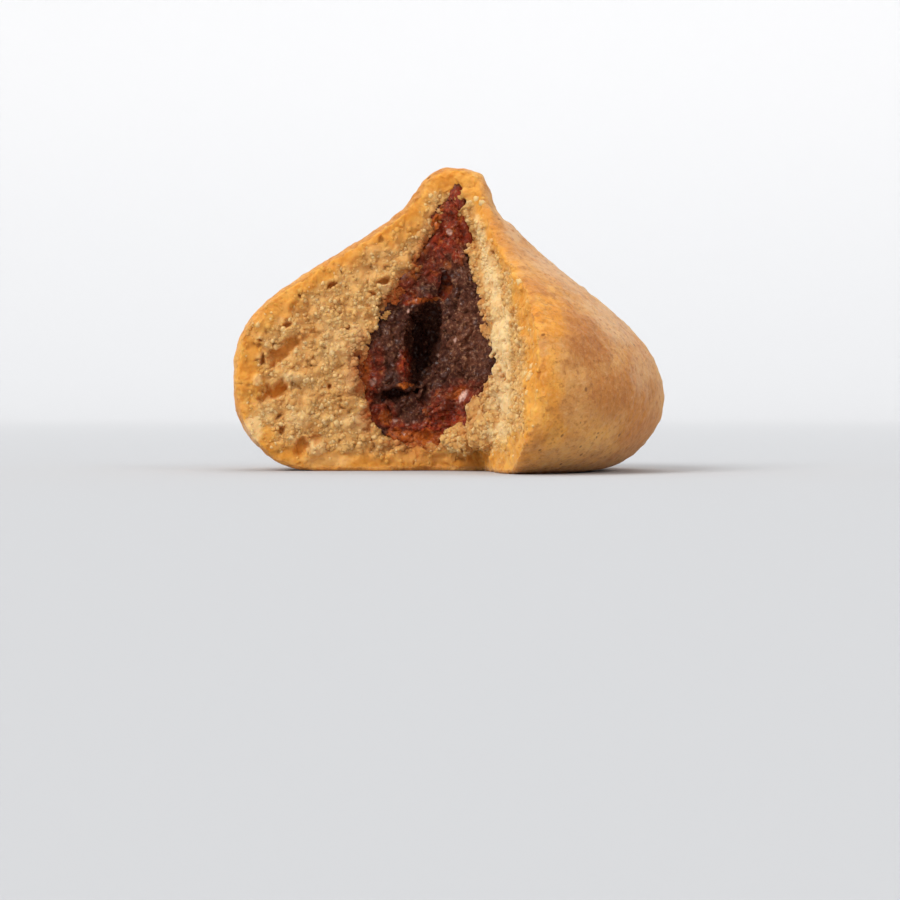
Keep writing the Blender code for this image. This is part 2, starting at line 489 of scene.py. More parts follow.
@dataclass(frozen=True)
class Patch:
    """An uneven oval on the cookie, as the viewer in front of the broken side sees it.

    Its middle is given as shares of the cookie's half width and height, its half sizes in
    millimetres, and its tilt in degrees, anticlockwise.
    """

    across: float
    up: float
    half_width: float
    half_height: float
    tilt: float = 0.0
    strength: float = 1.0
    raggedness: float = 0.35

    def cover(self, points: Points, form: Form) -> Amount:
        """Says how much of the patch each point has.

        Args:
            points: Places in metres, one row each.
            form: The cookie's size.

        Returns:
            The patch's strength in its middle, falling to 0 outside its ragged edge.
        """
        offset = form.viewpoint.flattened(points) - np.array(form.seen(self.across, self.up))
        dx, dz = offset[:, 0], offset[:, 2]
        turn = math.radians(self.tilt)
        along = (dx * math.cos(turn) + dz * math.sin(turn)) / (self.half_width * MM)
        over = (dz * math.cos(turn) - dx * math.sin(turn)) / (self.half_height * MM)
        from_middle = np.hypot(along, over)
        near = from_middle < 2.0
        ragged = np.zeros(len(points))
        ragged[near] = self.raggedness * fractal(points[near], 1.1 * MM, 40.0 + self.tilt)
        inside = 1.0 - eased(0.5, 1.15, from_middle + ragged)
        return self.strength * inside * near


def covered(points: Points, form: Form, patches: Sequence[Patch]) -> Amount:
    """Says how much each point has of the patch that covers it most."""
    return np.max([patch.cover(points, form) for patch in patches], axis=0)


@dataclass(frozen=True)
class Lump:
    """An egg-shaped swelling on the broken side, as the viewer sees it.

    Its middle is given as shares of the cookie's half width and height, its half sizes and how far
    its middle is sunk behind the face in millimetres, and its tilt in degrees, anticlockwise.
    """

    across: float
    up: float
    half_width: float
    half_height: float
    half_depth: float
    tilt: float = 0.0
    sunk: float = 0.4

    def add_to(self, shape: bmesh.types.BMesh, face: Surface, form: Form) -> None:
        """Adds the lump to a mesh.

        Args:
            shape: The mesh in the making.
            face: The skin that the lump stands on.
            form: The cookie's size.
        """
        middle = form.struck(form.seen(self.across, self.up), face) + Vector((0.0, self.sunk * MM, 0.0))
        made = bmesh.ops.create_icosphere(shape, subdivisions=3, radius=MM)["verts"]
        size = Matrix.Diagonal((self.half_width, self.half_depth, self.half_height, 1.0))
        turn = Matrix.Rotation(math.radians(-self.tilt), 4, "Y")
        bmesh.ops.transform(shape, matrix=Matrix.Translation(middle) @ turn @ size, verts=made)


@dataclass(frozen=True)
class Lip:
    """A strip of dough that leans over the paste, as the viewer sees it.

    Its edge is given as shares of the cookie's half width and height, with the dough to the right
    of the way that the edge is walked, and its lengths in millimetres.
    """

    edge: tuple[tuple[float, float], ...]
    width: float
    proud: float = 0.3
    depth: float = 1.2

    def add_to(self, shape: bmesh.types.BMesh, face: Surface, form: Form) -> None:
        """Adds the lip to a mesh.

        Args:
            shape: The mesh in the making.
            face: The skin that the lip lies on.
            form: The cookie's size.
        """
        out = Vector((0.0, -self.proud * MM, 0.0))
        inwards = Vector((0.0, self.depth * MM, 0.0))
        places = [form.seen(across, up) for across, up in self.edge]
        rings = []
        for index, place in enumerate(places):
            along = places[min(index + 1, len(places) - 1)] - places[max(index - 1, 0)]
            aside = Vector((along.z, 0.0, -along.x)).normalized() * self.width * MM
            inner, outer = form.struck(place, face), form.struck(place + aside, face)
            corners = (inner + out, outer, outer + inwards, inner + inwards)
            rings.append([shape.verts.new(corner) for corner in corners])
        sides = [shape.faces.new(rings[0]), shape.faces.new(rings[-1][::-1])]
        for first, second in zip(rings, rings[1:]):
            for step in range(4):
                after = (step + 1) % 4
                sides.append(shape.faces.new((first[after], first[step], second[step], second[after])))
        bmesh.ops.recalc_face_normals(shape, faces=sides)


@dataclass(frozen=True)
class Tear:
    """A deep torn hole in the broken side, as the viewer sees it.

    Its outline is given as shares of the cookie's half width and height, and its depth in
    millimetres. It narrows inwards.
    """

    outline: tuple[tuple[float, float], ...]
    depth: float
    narrowing: float = 0.65
    proud: float = 2.0

    def cutter(self, face: Surface, form: Form) -> bpy.types.Object:
        """Makes the solid that cuts the hole.

        Args:
            face: The skin that the hole starts in.
            form: The cookie's size.

        Returns:
            The solid.
        """
        shape = bmesh.new()
        rim = [form.struck(form.seen(across, up), face) for across, up in self.outline]
        middle = sum(rim, Vector()) / len(rim)
        out = Vector((0.0, -self.proud * MM, 0.0))
        inwards = Vector((0.0, self.depth * MM, 0.0))
        front = [shape.verts.new(corner + out) for corner in rim]
        back = [shape.verts.new(middle + (corner - middle) * self.narrowing + inwards) for corner in rim]
        shape.faces.new(front)
        shape.faces.new(back[::-1])
        for step in range(len(rim)):
            after = (step + 1) % len(rim)
            shape.faces.new((front[after], front[step], back[step], back[after]))
        bmesh.ops.recalc_face_normals(shape, faces=shape.faces)
        return object_from("tear_cutter", mesh_from("tear_cutter", shape))


# ---------------------------------------------------------------------------------------------
# Shader expressions
# ---------------------------------------------------------------------------------------------


class Value:
    """A shader socket that can stand in a Python expression."""

    def __init__(self, shader: Shader, socket: bpy.types.NodeSocket) -> None:
        """Wraps a socket.

        Args:
            shader: The material that the socket is in.
            socket: An output socket.
        """
        self.shader = shader
        self.socket = socket

    def _math(self, operation: str, *terms: Value | float) -> Value:
        """Adds a Math node with its inputs in order, and gives its result."""
        return self.shader.node("ShaderNodeMath", {"operation": operation}, dict(enumerate(terms)))

    def __add__(self, other: Value | float) -> Value:
        """Adds."""
        return self._math("ADD", self, other)

    __radd__ = __add__

    def __mul__(self, other: Value | float) -> Value:
        """Multiplies."""
        return self._math("MULTIPLY", self, other)

    __rmul__ = __mul__

    def __sub__(self, other: Value | float) -> Value:
        """Takes the other value away."""
        return self._math("SUBTRACT", self, other)

    def __rsub__(self, other: Value | float) -> Value:
        """Takes this value away from the other."""
        return self._math("SUBTRACT", other, self)

    def __truediv__(self, other: Value | float) -> Value:
        """Divides by the other value."""
        return self._math("DIVIDE", self, other)

    def __rtruediv__(self, other: Value | float) -> Value:
        """Divides the other value by this one."""
        return self._math("DIVIDE", other, self)

    def held(self) -> Value:
        """Keeps the value between 0 and 1."""
        return self.shader.node("ShaderNodeClamp", {}, {"Value": self})

    def eased(self, low: float, high: float) -> Value:
        """Gives 0 at low, 1 at high, and a smooth ramp between them.

        Args:
            low: The value where the ramp starts.
            high: The value where the ramp ends.

        Returns:
            The eased share.
        """
        settings = {"interpolation_type": "SMOOTHSTEP"}
        return self.shader.node(
            "ShaderNodeMapRange", settings, {"Value": self, "From Min": low, "From Max": high}
        )


class Shader:
    """One material, made node by node."""

    def __init__(self, name: str) -> None:
        """Starts a material that has only its Principled surface.

        Args:
            name: The material's name.
        """
        self.material = bpy.data.materials.new(name)
        self.material.use_nodes = True
        self.tree = self.material.node_tree
        self.surface = self.tree.nodes["Principled BSDF"]
        self.place = self.node("ShaderNodeTexCoord", {}, {}, "Object")

    def node(self, kind: str, settings: dict, inputs: dict, output: str | int = 0) -> Value:
        """Adds a node.

        Args:
            kind: The node's type.
            settings: Its properties, which are set first.
            inputs: Values or links of its sockets, by name or number.
            output: The socket that the caller wants.

        Returns:
            That output.
        """
        made = self.tree.nodes.new(kind)
        for key, setting in settings.items():
            setattr(made, key, setting)
        for key, given in inputs.items():
            self.feed(made.inputs[key], given)
        return Value(self, made.outputs[output])

    def feed(self, socket: bpy.types.NodeSocket, given: Value | float | Sequence[float]) -> None:
        """Links a value to a socket, or sets the socket.

        Args:
            socket: The input socket.
            given: A shader value, a number, a vector or a colour.
        """
        if isinstance(given, Value):
            self.tree.links.new(given.socket, socket)
        elif isinstance(given, (int, float)):
            socket.default_value = given
        else:
            wanted = len(socket.default_value)
            socket.default_value = (*given, 1.0)[:wanted]

    def mask(self, mask: Mask) -> Value:
        """Reads a value that the mesh carries."""
        return self.node("ShaderNodeAttribute", {"attribute_name": mask.value}, {}, "Fac")

    def shifted(self, seed: float, wobble: float = 0.0, wobble_length: float = 1.0) -> Value:
        """Gives the place on the object, moved so that a pattern there is another one.

        Args:
            seed: How far the place is moved, in centimetres.
            wobble: How far noise bends it, in metres.
            wobble_length: How wide the bends are, in metres.

        Returns:
            The moved place.
        """
        offset = (seed * 0.01, seed * 0.013, seed * 0.007)
        moved = self.node("ShaderNodeVectorMath", {"operation": "ADD"}, {0: self.place, 1: offset})
        if wobble:
            bends = self.node(
                "ShaderNodeTexNoise", {}, {"Vector": moved, "Scale": 1.0 / wobble_length}, "Color"
            )
            middled = self.node(
                "ShaderNodeVectorMath", {"operation": "SUBTRACT"}, {0: bends, 1: (0.5, 0.5, 0.5)}
            )
            reach = self.node(
                "ShaderNodeVectorMath", {"operation": "SCALE"}, {0: middled, "Scale": 2.0 * wobble}
            )
            moved = self.node("ShaderNodeVectorMath", {"operation": "ADD"}, {0: moved, 1: reach})
        return moved

    def clouds(self, length: float, detail: float, seed: float, roughness: float = 0.5) -> Value:
        """Adds cloudy noise.

        Args:
            length: About how wide a cloud is, in metres.
            detail: How many finer sizes there are.
            seed: Tells one pattern from another.
            roughness: How strong the finer sizes are.

        Returns:
            The noise, from 0 to 1 and mostly near a half.
        """
        sockets = {"Vector": self.shifted(seed), "Scale": 1.0 / length, "Detail": detail}
        return self.node("ShaderNodeTexNoise", {}, sockets | {"Roughness": roughness})

    def grains(self, length: float, seed: float, output: str = "Distance", wobble: float = 0.0) -> Value:
        """Adds a pattern of grains.

        Args:
            length: About how wide a grain is, in metres.
            seed: Tells one pattern from another.
            output: "Distance" from the grain's middle, or "Color", which is random in each.
            wobble: How far the grains are bent out of round, in metres.

        Returns:
            The pattern.
        """
        place = self.shifted(seed, wobble, 0.6 * length)
        return self.node("ShaderNodeTexVoronoi", {}, {"Vector": place, "Scale": 1.0 / length}, output)

    def chance(self, length: float, seed: float, wobble: float = 0.0) -> Value:
        """Gives each grain of a pattern a random number of its own."""
        colour = self.grains(length, seed, "Color", wobble)
        return self.node("ShaderNodeSeparateColor", {}, {0: colour}, 0)

    def specks(self, length: float, seed: float, size: float, spread: float) -> Value:
        """Scatters small dark specks, one for each grain of a wide pattern.

        Args:
            length: About how far apart the specks are, in metres.
            seed: Tells one pattern from another.
            size: The smallest speck's radius, as a share of that length.
            spread: How much larger the largest is, as a share of it too.

        Returns:
            1 in a speck and 0 elsewhere.
        """
        wobble = 0.1 * length
        middle = self.grains(length, seed, wobble=wobble)
        return 1.0 - (middle / (self.chance(length, seed, wobble) * spread + size)).eased(0.7, 1.3)

    def mixed(self, share: Value | float, first: Value | Colour, second: Value | Colour) -> Value:
        """Blends two colours: the first at a share of 0, the second at 1."""
        settings = {"data_type": "RGBA", "clamp_factor": True}
        return self.node("ShaderNodeMix", settings, {0: share, 6: first, 7: second}, 2)

    def bumped(self, *heights: tuple[Value, float]) -> None:
        """Gives the surface fine relief.

        Args:
            *heights: Each pattern with its height, in metres.
        """
        total = None
        for pattern, height in heights:
            term = pattern * (height / MM)
            total = term if total is None else total + term
        bump = self.node("ShaderNodeBump", {}, {"Strength": 1.0, "Distance": MM, "Height": total})
        self.feed(self.surface.inputs["Normal"], bump)

    def finish(self, colour: Value, **sockets: Value | float | Sequence[float]) -> bpy.types.Material:
        """Sets the surface's sockets.

        Args:
            colour: The base colour.
            **sockets: Other sockets, with _ for a space.

        Returns:
            The material.
        """
        self.feed(self.surface.inputs["Base Color"], colour)
        for key, given in sockets.items():
            self.feed(self.surface.inputs[key.replace("_", " ")], given)
        return self.material


# ---------------------------------------------------------------------------------------------
# Finishes
# ---------------------------------------------------------------------------------------------


@dataclass(frozen=True)
class GoldFinish:
    """The golden colour that baking leaves in the outer layer of the dough."""

    gold: Colour = tone("e5972f")
    honey: Colour = tone("ebac50")
    amber: Colour = tone("cd7c28")

    def over(self, shader: Shader, colour: Value, tint: Value | float) -> Value:
        """Paints the golden layer over another colour.

        Args:
            shader: The material in the making.
            colour: What is under it.
            tint: From 0 for a pale grain to 1 for a dark one.

        Returns:
            The colour, golden where the mesh says so.
        """
        broad = shader.clouds(2.6 * MM, 3.0, seed=31.0)
        fine = shader.clouds(0.5 * MM, 3.0, seed=32.0, roughness=0.6)
        gold = shader.mixed(broad.eased(0.38, 0.68), self.gold, self.honey)
        gold = shader.mixed(((fine - 0.5) * 1.8 + (tint - 0.5) * 0.35 + 0.12).held(), gold, self.amber)
        share = shader.mask(Mask.GOLD)
        ragged = (share + ((broad - 0.5) * 0.8 + (fine - 0.5) * 0.5) * share.eased(0.0, 0.4)).held()
        return shader.mixed(ragged * 0.92, colour, gold)


@dataclass(frozen=True)
class CrumbFinish:
    """Broken semolina dough: tan with creamy clumps, tawny where it tore or took up date syrup."""

    tan: Colour = tone("eeb972")
    tawny: Colour = tone("c98845")
    cream: Colour = tone("f6d297")
    torn: Colour = tone("cd7c22")
    # Painted shade: the darker brown of the gaps between grains and of the holes.
    gap: Colour = tone("8d5727")
    stain: Colour = tone("a3501f")
    layer: GoldFinish = field(default_factory=GoldFinish)

    def colour(self, shader: Shader, tint: Value) -> Value:
        """Paints the crumb.

        Args:
            shader: The material in the making.
            tint: From 0 for a pale grain to 1 for a dark one.

        Returns:
            The crumb's colour.
        """
        broad = shader.clouds(2.4 * MM, 3.0, seed=5.0)
        fine = shader.clouds(0.55 * MM, 3.0, seed=6.0, roughness=0.6)
        uneven = (broad - 0.5) * 1.2 + (fine - 0.5) * 0.8
        colour = shader.mixed((tint * 0.45 + uneven + 0.15).held(), self.tan, self.tawny)
        colour = self.layer.over(shader, colour, tint)
        creamy = shader.mask(Mask.PALE_AND_PAINTED_LIGHT)
        creamy = creamy * (1.0 - tint * 0.3 - uneven * 0.6)
        colour = shader.mixed(creamy.held(), colour, self.cream)
        colour = shader.mixed(shader.mask(Mask.TORN), colour, self.torn)
        # Painted shade in the gaps and holes.
        colour = shader.mixed(shader.mask(Mask.GAP_SHADE) * 0.55, colour, self.gap)
        browned = shader.mask(Mask.BROWNED)
        return shader.mixed((browned * (0.9 + (fine - 0.5) * 1.2)).held(), colour, self.stain)


@dataclass(frozen=True)
class CrustFinish:
    """The baked outside: tan and brown by turns, with fine mottling and small dark pits."""

    tan: Colour = tone("d9a05f")
    brown: Colour = tone("c6813f")
    baked: Colour = tone("b06c33")
    # Peach: partly floury crust, partly painted sheen where the crust turns away along its upper
    # outline.
    peach: Colour = tone("dcb083")
    fleck: Colour = tone("a05e2c")
    floury: Colour = tone("e8c08c")
    pit: Colour = tone("6b3917")
    layer: GoldFinish = field(default_factory=GoldFinish)

    def colour(self, shader: Shader) -> Value:
        """Paints the crust.

        Args:
            shader: The material in the making.

        Returns:
            The crust's colour.
        """
        browning = shader.clouds(8.0 * MM, 2.0, seed=1.0)
        mottle = shader.clouds(1.5 * MM, 4.0, seed=2.0, roughness=0.6)
        sandy = shader.clouds(0.5 * MM, 3.0, seed=24.0, roughness=0.65)
        colour = shader.mixed(browning.eased(0.36, 0.66), self.tan, self.brown)
        browned = shader.mask(Mask.BROWNED)
        colour = shader.mixed((browned * (0.7 + mottle * 0.6)).held(), colour, self.baked)
        colour = self.layer.over(shader, colour, mottle)
        # Peach where the mesh says so: partly floury, partly painted sheen along the upper outline.
        peachy = shader.mask(Mask.PALE_AND_PAINTED_LIGHT) * (mottle * 1.4 + 0.3)
        colour = shader.mixed(peachy.held(), colour, self.peach)
        colour = shader.mixed(mottle.eased(0.45, 0.72) * 0.4, colour, self.fleck)
        colour = shader.mixed(sandy.eased(0.52, 0.72) * 0.25, colour, self.floury)
        colour = shader.mixed(sandy.eased(0.48, 0.33) * 0.5, colour, self.fleck)
        return shader.mixed(shader.specks(1.7 * MM, 25.0, 0.0, 0.13) * 0.7, colour, self.pit)


@dataclass(frozen=True)
class PastryFinish:
    """The whole of the baked dough, crust and crumb."""

    crust: CrustFinish = field(default_factory=CrustFinish)
    crumb: CrumbFinish = field(default_factory=CrumbFinish)

    def material(self) -> bpy.types.Material:
        """Makes the material.

        Returns:
            The finished material.
        """
        shader = Shader("baked_pastry")
        tint = shader.chance(0.5 * MM, seed=4.0, wobble=0.14 * MM)
        edge = shader.clouds(0.9 * MM, 3.0, seed=10.0)
        crumb = (shader.mask(Mask.CRUMB) + (edge - 0.5) * 0.6).eased(0.3, 0.75)
        colour = shader.mixed(crumb, self.crust.colour(shader), self.crumb.colour(shader, tint))
        pores = shader.clouds(0.5 * MM, 3.0, seed=7.0, roughness=0.6)
        dimples = shader.clouds(1.5 * MM, 3.0, seed=8.0)
        shader.bumped((pores * (2.4 - crumb * 1.7), 0.10 * MM), (dimples, 0.10 * MM))
        return shader.finish(
            colour,
            Roughness=crumb * 0.2 + 0.6,
            Subsurface_Weight=0.45,
            Subsurface_Scale=1.0 * MM,
            Subsurface_Radius=(1.0, 0.6, 0.3),
            Specular_IOR_Level=0.15,
            Sheen_Weight=0.1,
            Sheen_Roughness=0.45,
        )


@dataclass(frozen=True)
class GrainFinish:
    """Semolina grains: the crumb's colours, each grain with its own tone."""

    crumb: CrumbFinish = field(default_factory=CrumbFinish)

    def material(self) -> bpy.types.Material:
        """Makes the material.

        Returns:
            The finished material.
        """
        shader = Shader("semolina_grain")
        colour = self.crumb.colour(shader, shader.mask(Mask.TINT))
        shader.bumped((shader.clouds(0.2 * MM, 2.0, seed=22.0), 0.04 * MM))
        return shader.finish(
            colour,
            Roughness=0.65,
            Subsurface_Weight=0.3,
            Subsurface_Scale=0.7 * MM,
            Subsurface_Radius=(1.0, 0.65, 0.35),
            Specular_IOR_Level=0.2,
        )


@dataclass(frozen=True)
class PasteFinish:
    """Date paste: dark and grainy, grey-brown where it tore, partly its own tone and partly painted
    sheen, red and amber where it is thin, with painted shade in its crevices and painted glints.
    """

    dark: Colour = tone("411e14")
    # Grey-brown: partly the paste's own tone, partly painted sheen of its rough, sticky face.
    grey_tone_and_sheen: Colour = tone("6d402c")
    # Pale specks: partly pale grains of the paste, partly painted glints.
    pale_speck_and_glint: Colour = tone("b08160")
    red: Colour = tone("8f2e12")
    orange: Colour = tone("c0641f")
    # The pale pink of the painted highlights, small glints on the paste.
    pale: Colour = tone("e6b8a4")
    # Painted shade: the near-black that fills the crevices and the small gaps between the paste's
    # grains.
    deep: Colour = tone("34130b")

    def material(self) -> bpy.types.Material:
        """Makes the material.

        Returns:
            The finished material.
        """
        shader = Shader("date_paste")
        fibre = shader.clouds(0.5 * MM, 4.0, seed=11.0, roughness=0.65)
        blotch = shader.clouds(1.3 * MM, 4.0, seed=12.0, roughness=0.6)
        speck = shader.clouds(0.32 * MM, 3.0, seed=15.0, roughness=0.6)
        # Grey-brown a little everywhere and most on the torn lobes: partly own tone, partly painted
        # sheen.
        grey_and_sheen = shader.mask(Mask.GREY_TONE_AND_SHEEN) * 0.7 + 0.3
        red = shader.mask(Mask.RED)
        orange = shader.mask(Mask.ORANGE)
        dry = (fibre.eased(0.34, 0.64) * 0.7 + blotch.eased(0.36, 0.62) * 0.5).held()
        colour = shader.mixed(grey_and_sheen * dry, self.dark, self.grey_tone_and_sheen)
        patchy = (blotch - 0.5) * 2.2 + (fibre - 0.5) * 1.6
        colour = shader.mixed((red * (patchy + 0.85)).held(), colour, self.red)
        colour = shader.mixed((orange * (patchy + 0.8)).held(), colour, self.orange)
        vein = shader.clouds(1.1 * MM, 3.0, seed=16.0, roughness=0.6)
        colour = shader.mixed(vein.eased(0.54, 0.68) * red * 0.6, colour, self.orange)
        colour = shader.mixed(vein.eased(0.45, 0.33) * red * 0.65, colour, self.dark)
        # Pale specks, partly the paste's pale grains and partly painted glints, most on the grey-brown.
        colour = shader.mixed(speck.eased(0.53, 0.72) * (grey_and_sheen * 0.4 + 0.35), colour, self.pale_speck_and_glint)
        # Dark specks: painted shade in the small gaps between the paste's grains.
        colour = shader.mixed(speck.eased(0.47, 0.31) * 0.65, colour, self.deep)
        # Painted highlights: pale pink glints where the paste shines.
        pale = shader.mask(Mask.PALE_AND_PAINTED_LIGHT)
        colour = shader.mixed((pale + (speck - 0.5) * 2.0 * pale).held(), colour, self.pale)
        # Painted shade: darker where the paste's view out is blocked, deep in its crevices.
        colour = shader.mixed(shader.mask(Mask.SHADE) * 0.9, colour, self.deep)
        shader.bumped((fibre, 0.14 * MM), (speck, 0.10 * MM))
        wet = shader.clouds(0.7 * MM, 3.0, seed=14.0).eased(0.48, 0.66) * (1.0 - grey_and_sheen * 0.5)
        return shader.finish(
            colour,
            Roughness=0.68 - wet * 0.25,
            Coat_Weight=wet * 0.7,
            Coat_Roughness=0.18,
            Subsurface_Weight=0.08,
            Subsurface_Scale=0.5 * MM,
            Subsurface_Radius=(1.0, 0.3, 0.12),
            Specular_IOR_Level=0.14,
        )


@dataclass(frozen=True)
class BackdropFinish:
    """Matte grey paper, painted darker on the floor and paler where it rises and far off: painted light
    and shade that evens out how the lamps light floor and wall.
    """

    floor: Colour = tone("c4c5c7")
    wall: Colour = tone("d1d1d2")
    reach: float = 1.3
    rise: float = 0.45

    def material(self) -> bpy.types.Material:
        """Makes the material.

        Returns:
            The finished material.
        """
        shader = Shader("backdrop_paper")
        far = shader.node("ShaderNodeVectorMath", {"operation": "LENGTH"}, {0: shader.place}, "Value")
        height = shader.node("ShaderNodeSeparateXYZ", {}, {0: shader.place}, "Z")
        # Painted light and shade: paler far off and where the paper rises, darker on the floor under the
        # lamps.
        paler = far.eased(0.0, self.reach) * 0.3 + height.eased(0.0, self.rise) * 0.7
        colour = shader.mixed(paler, self.floor, self.wall)
        return shader.finish(colour, Roughness=1.0, Specular_IOR_Level=0.0)


# ---------------------------------------------------------------------------------------------
# The cookie
# ---------------------------------------------------------------------------------------------


def pressed(mesh: bpy.types.Mesh, other: Surface, reach: float) -> Amount:
    """Says where a mesh lies against another skin, so that nobody sees it.

    Args:
        mesh: The mesh.
        other: The other skin.
        reach: The widest gap that still counts, in metres.

    Returns:
        1 at the points that face the other skin from close by, and 0 elsewhere.
    """
    points = positions(mesh)
    facing = np.einsum("ij,ij->i", normals(mesh), other.directions(points))
    near = 1.0 - eased(0.55 * reach, reach, other.distances(points))
    return relaxed(mesh, eased(0.35, 0.8, facing) * near, 2)


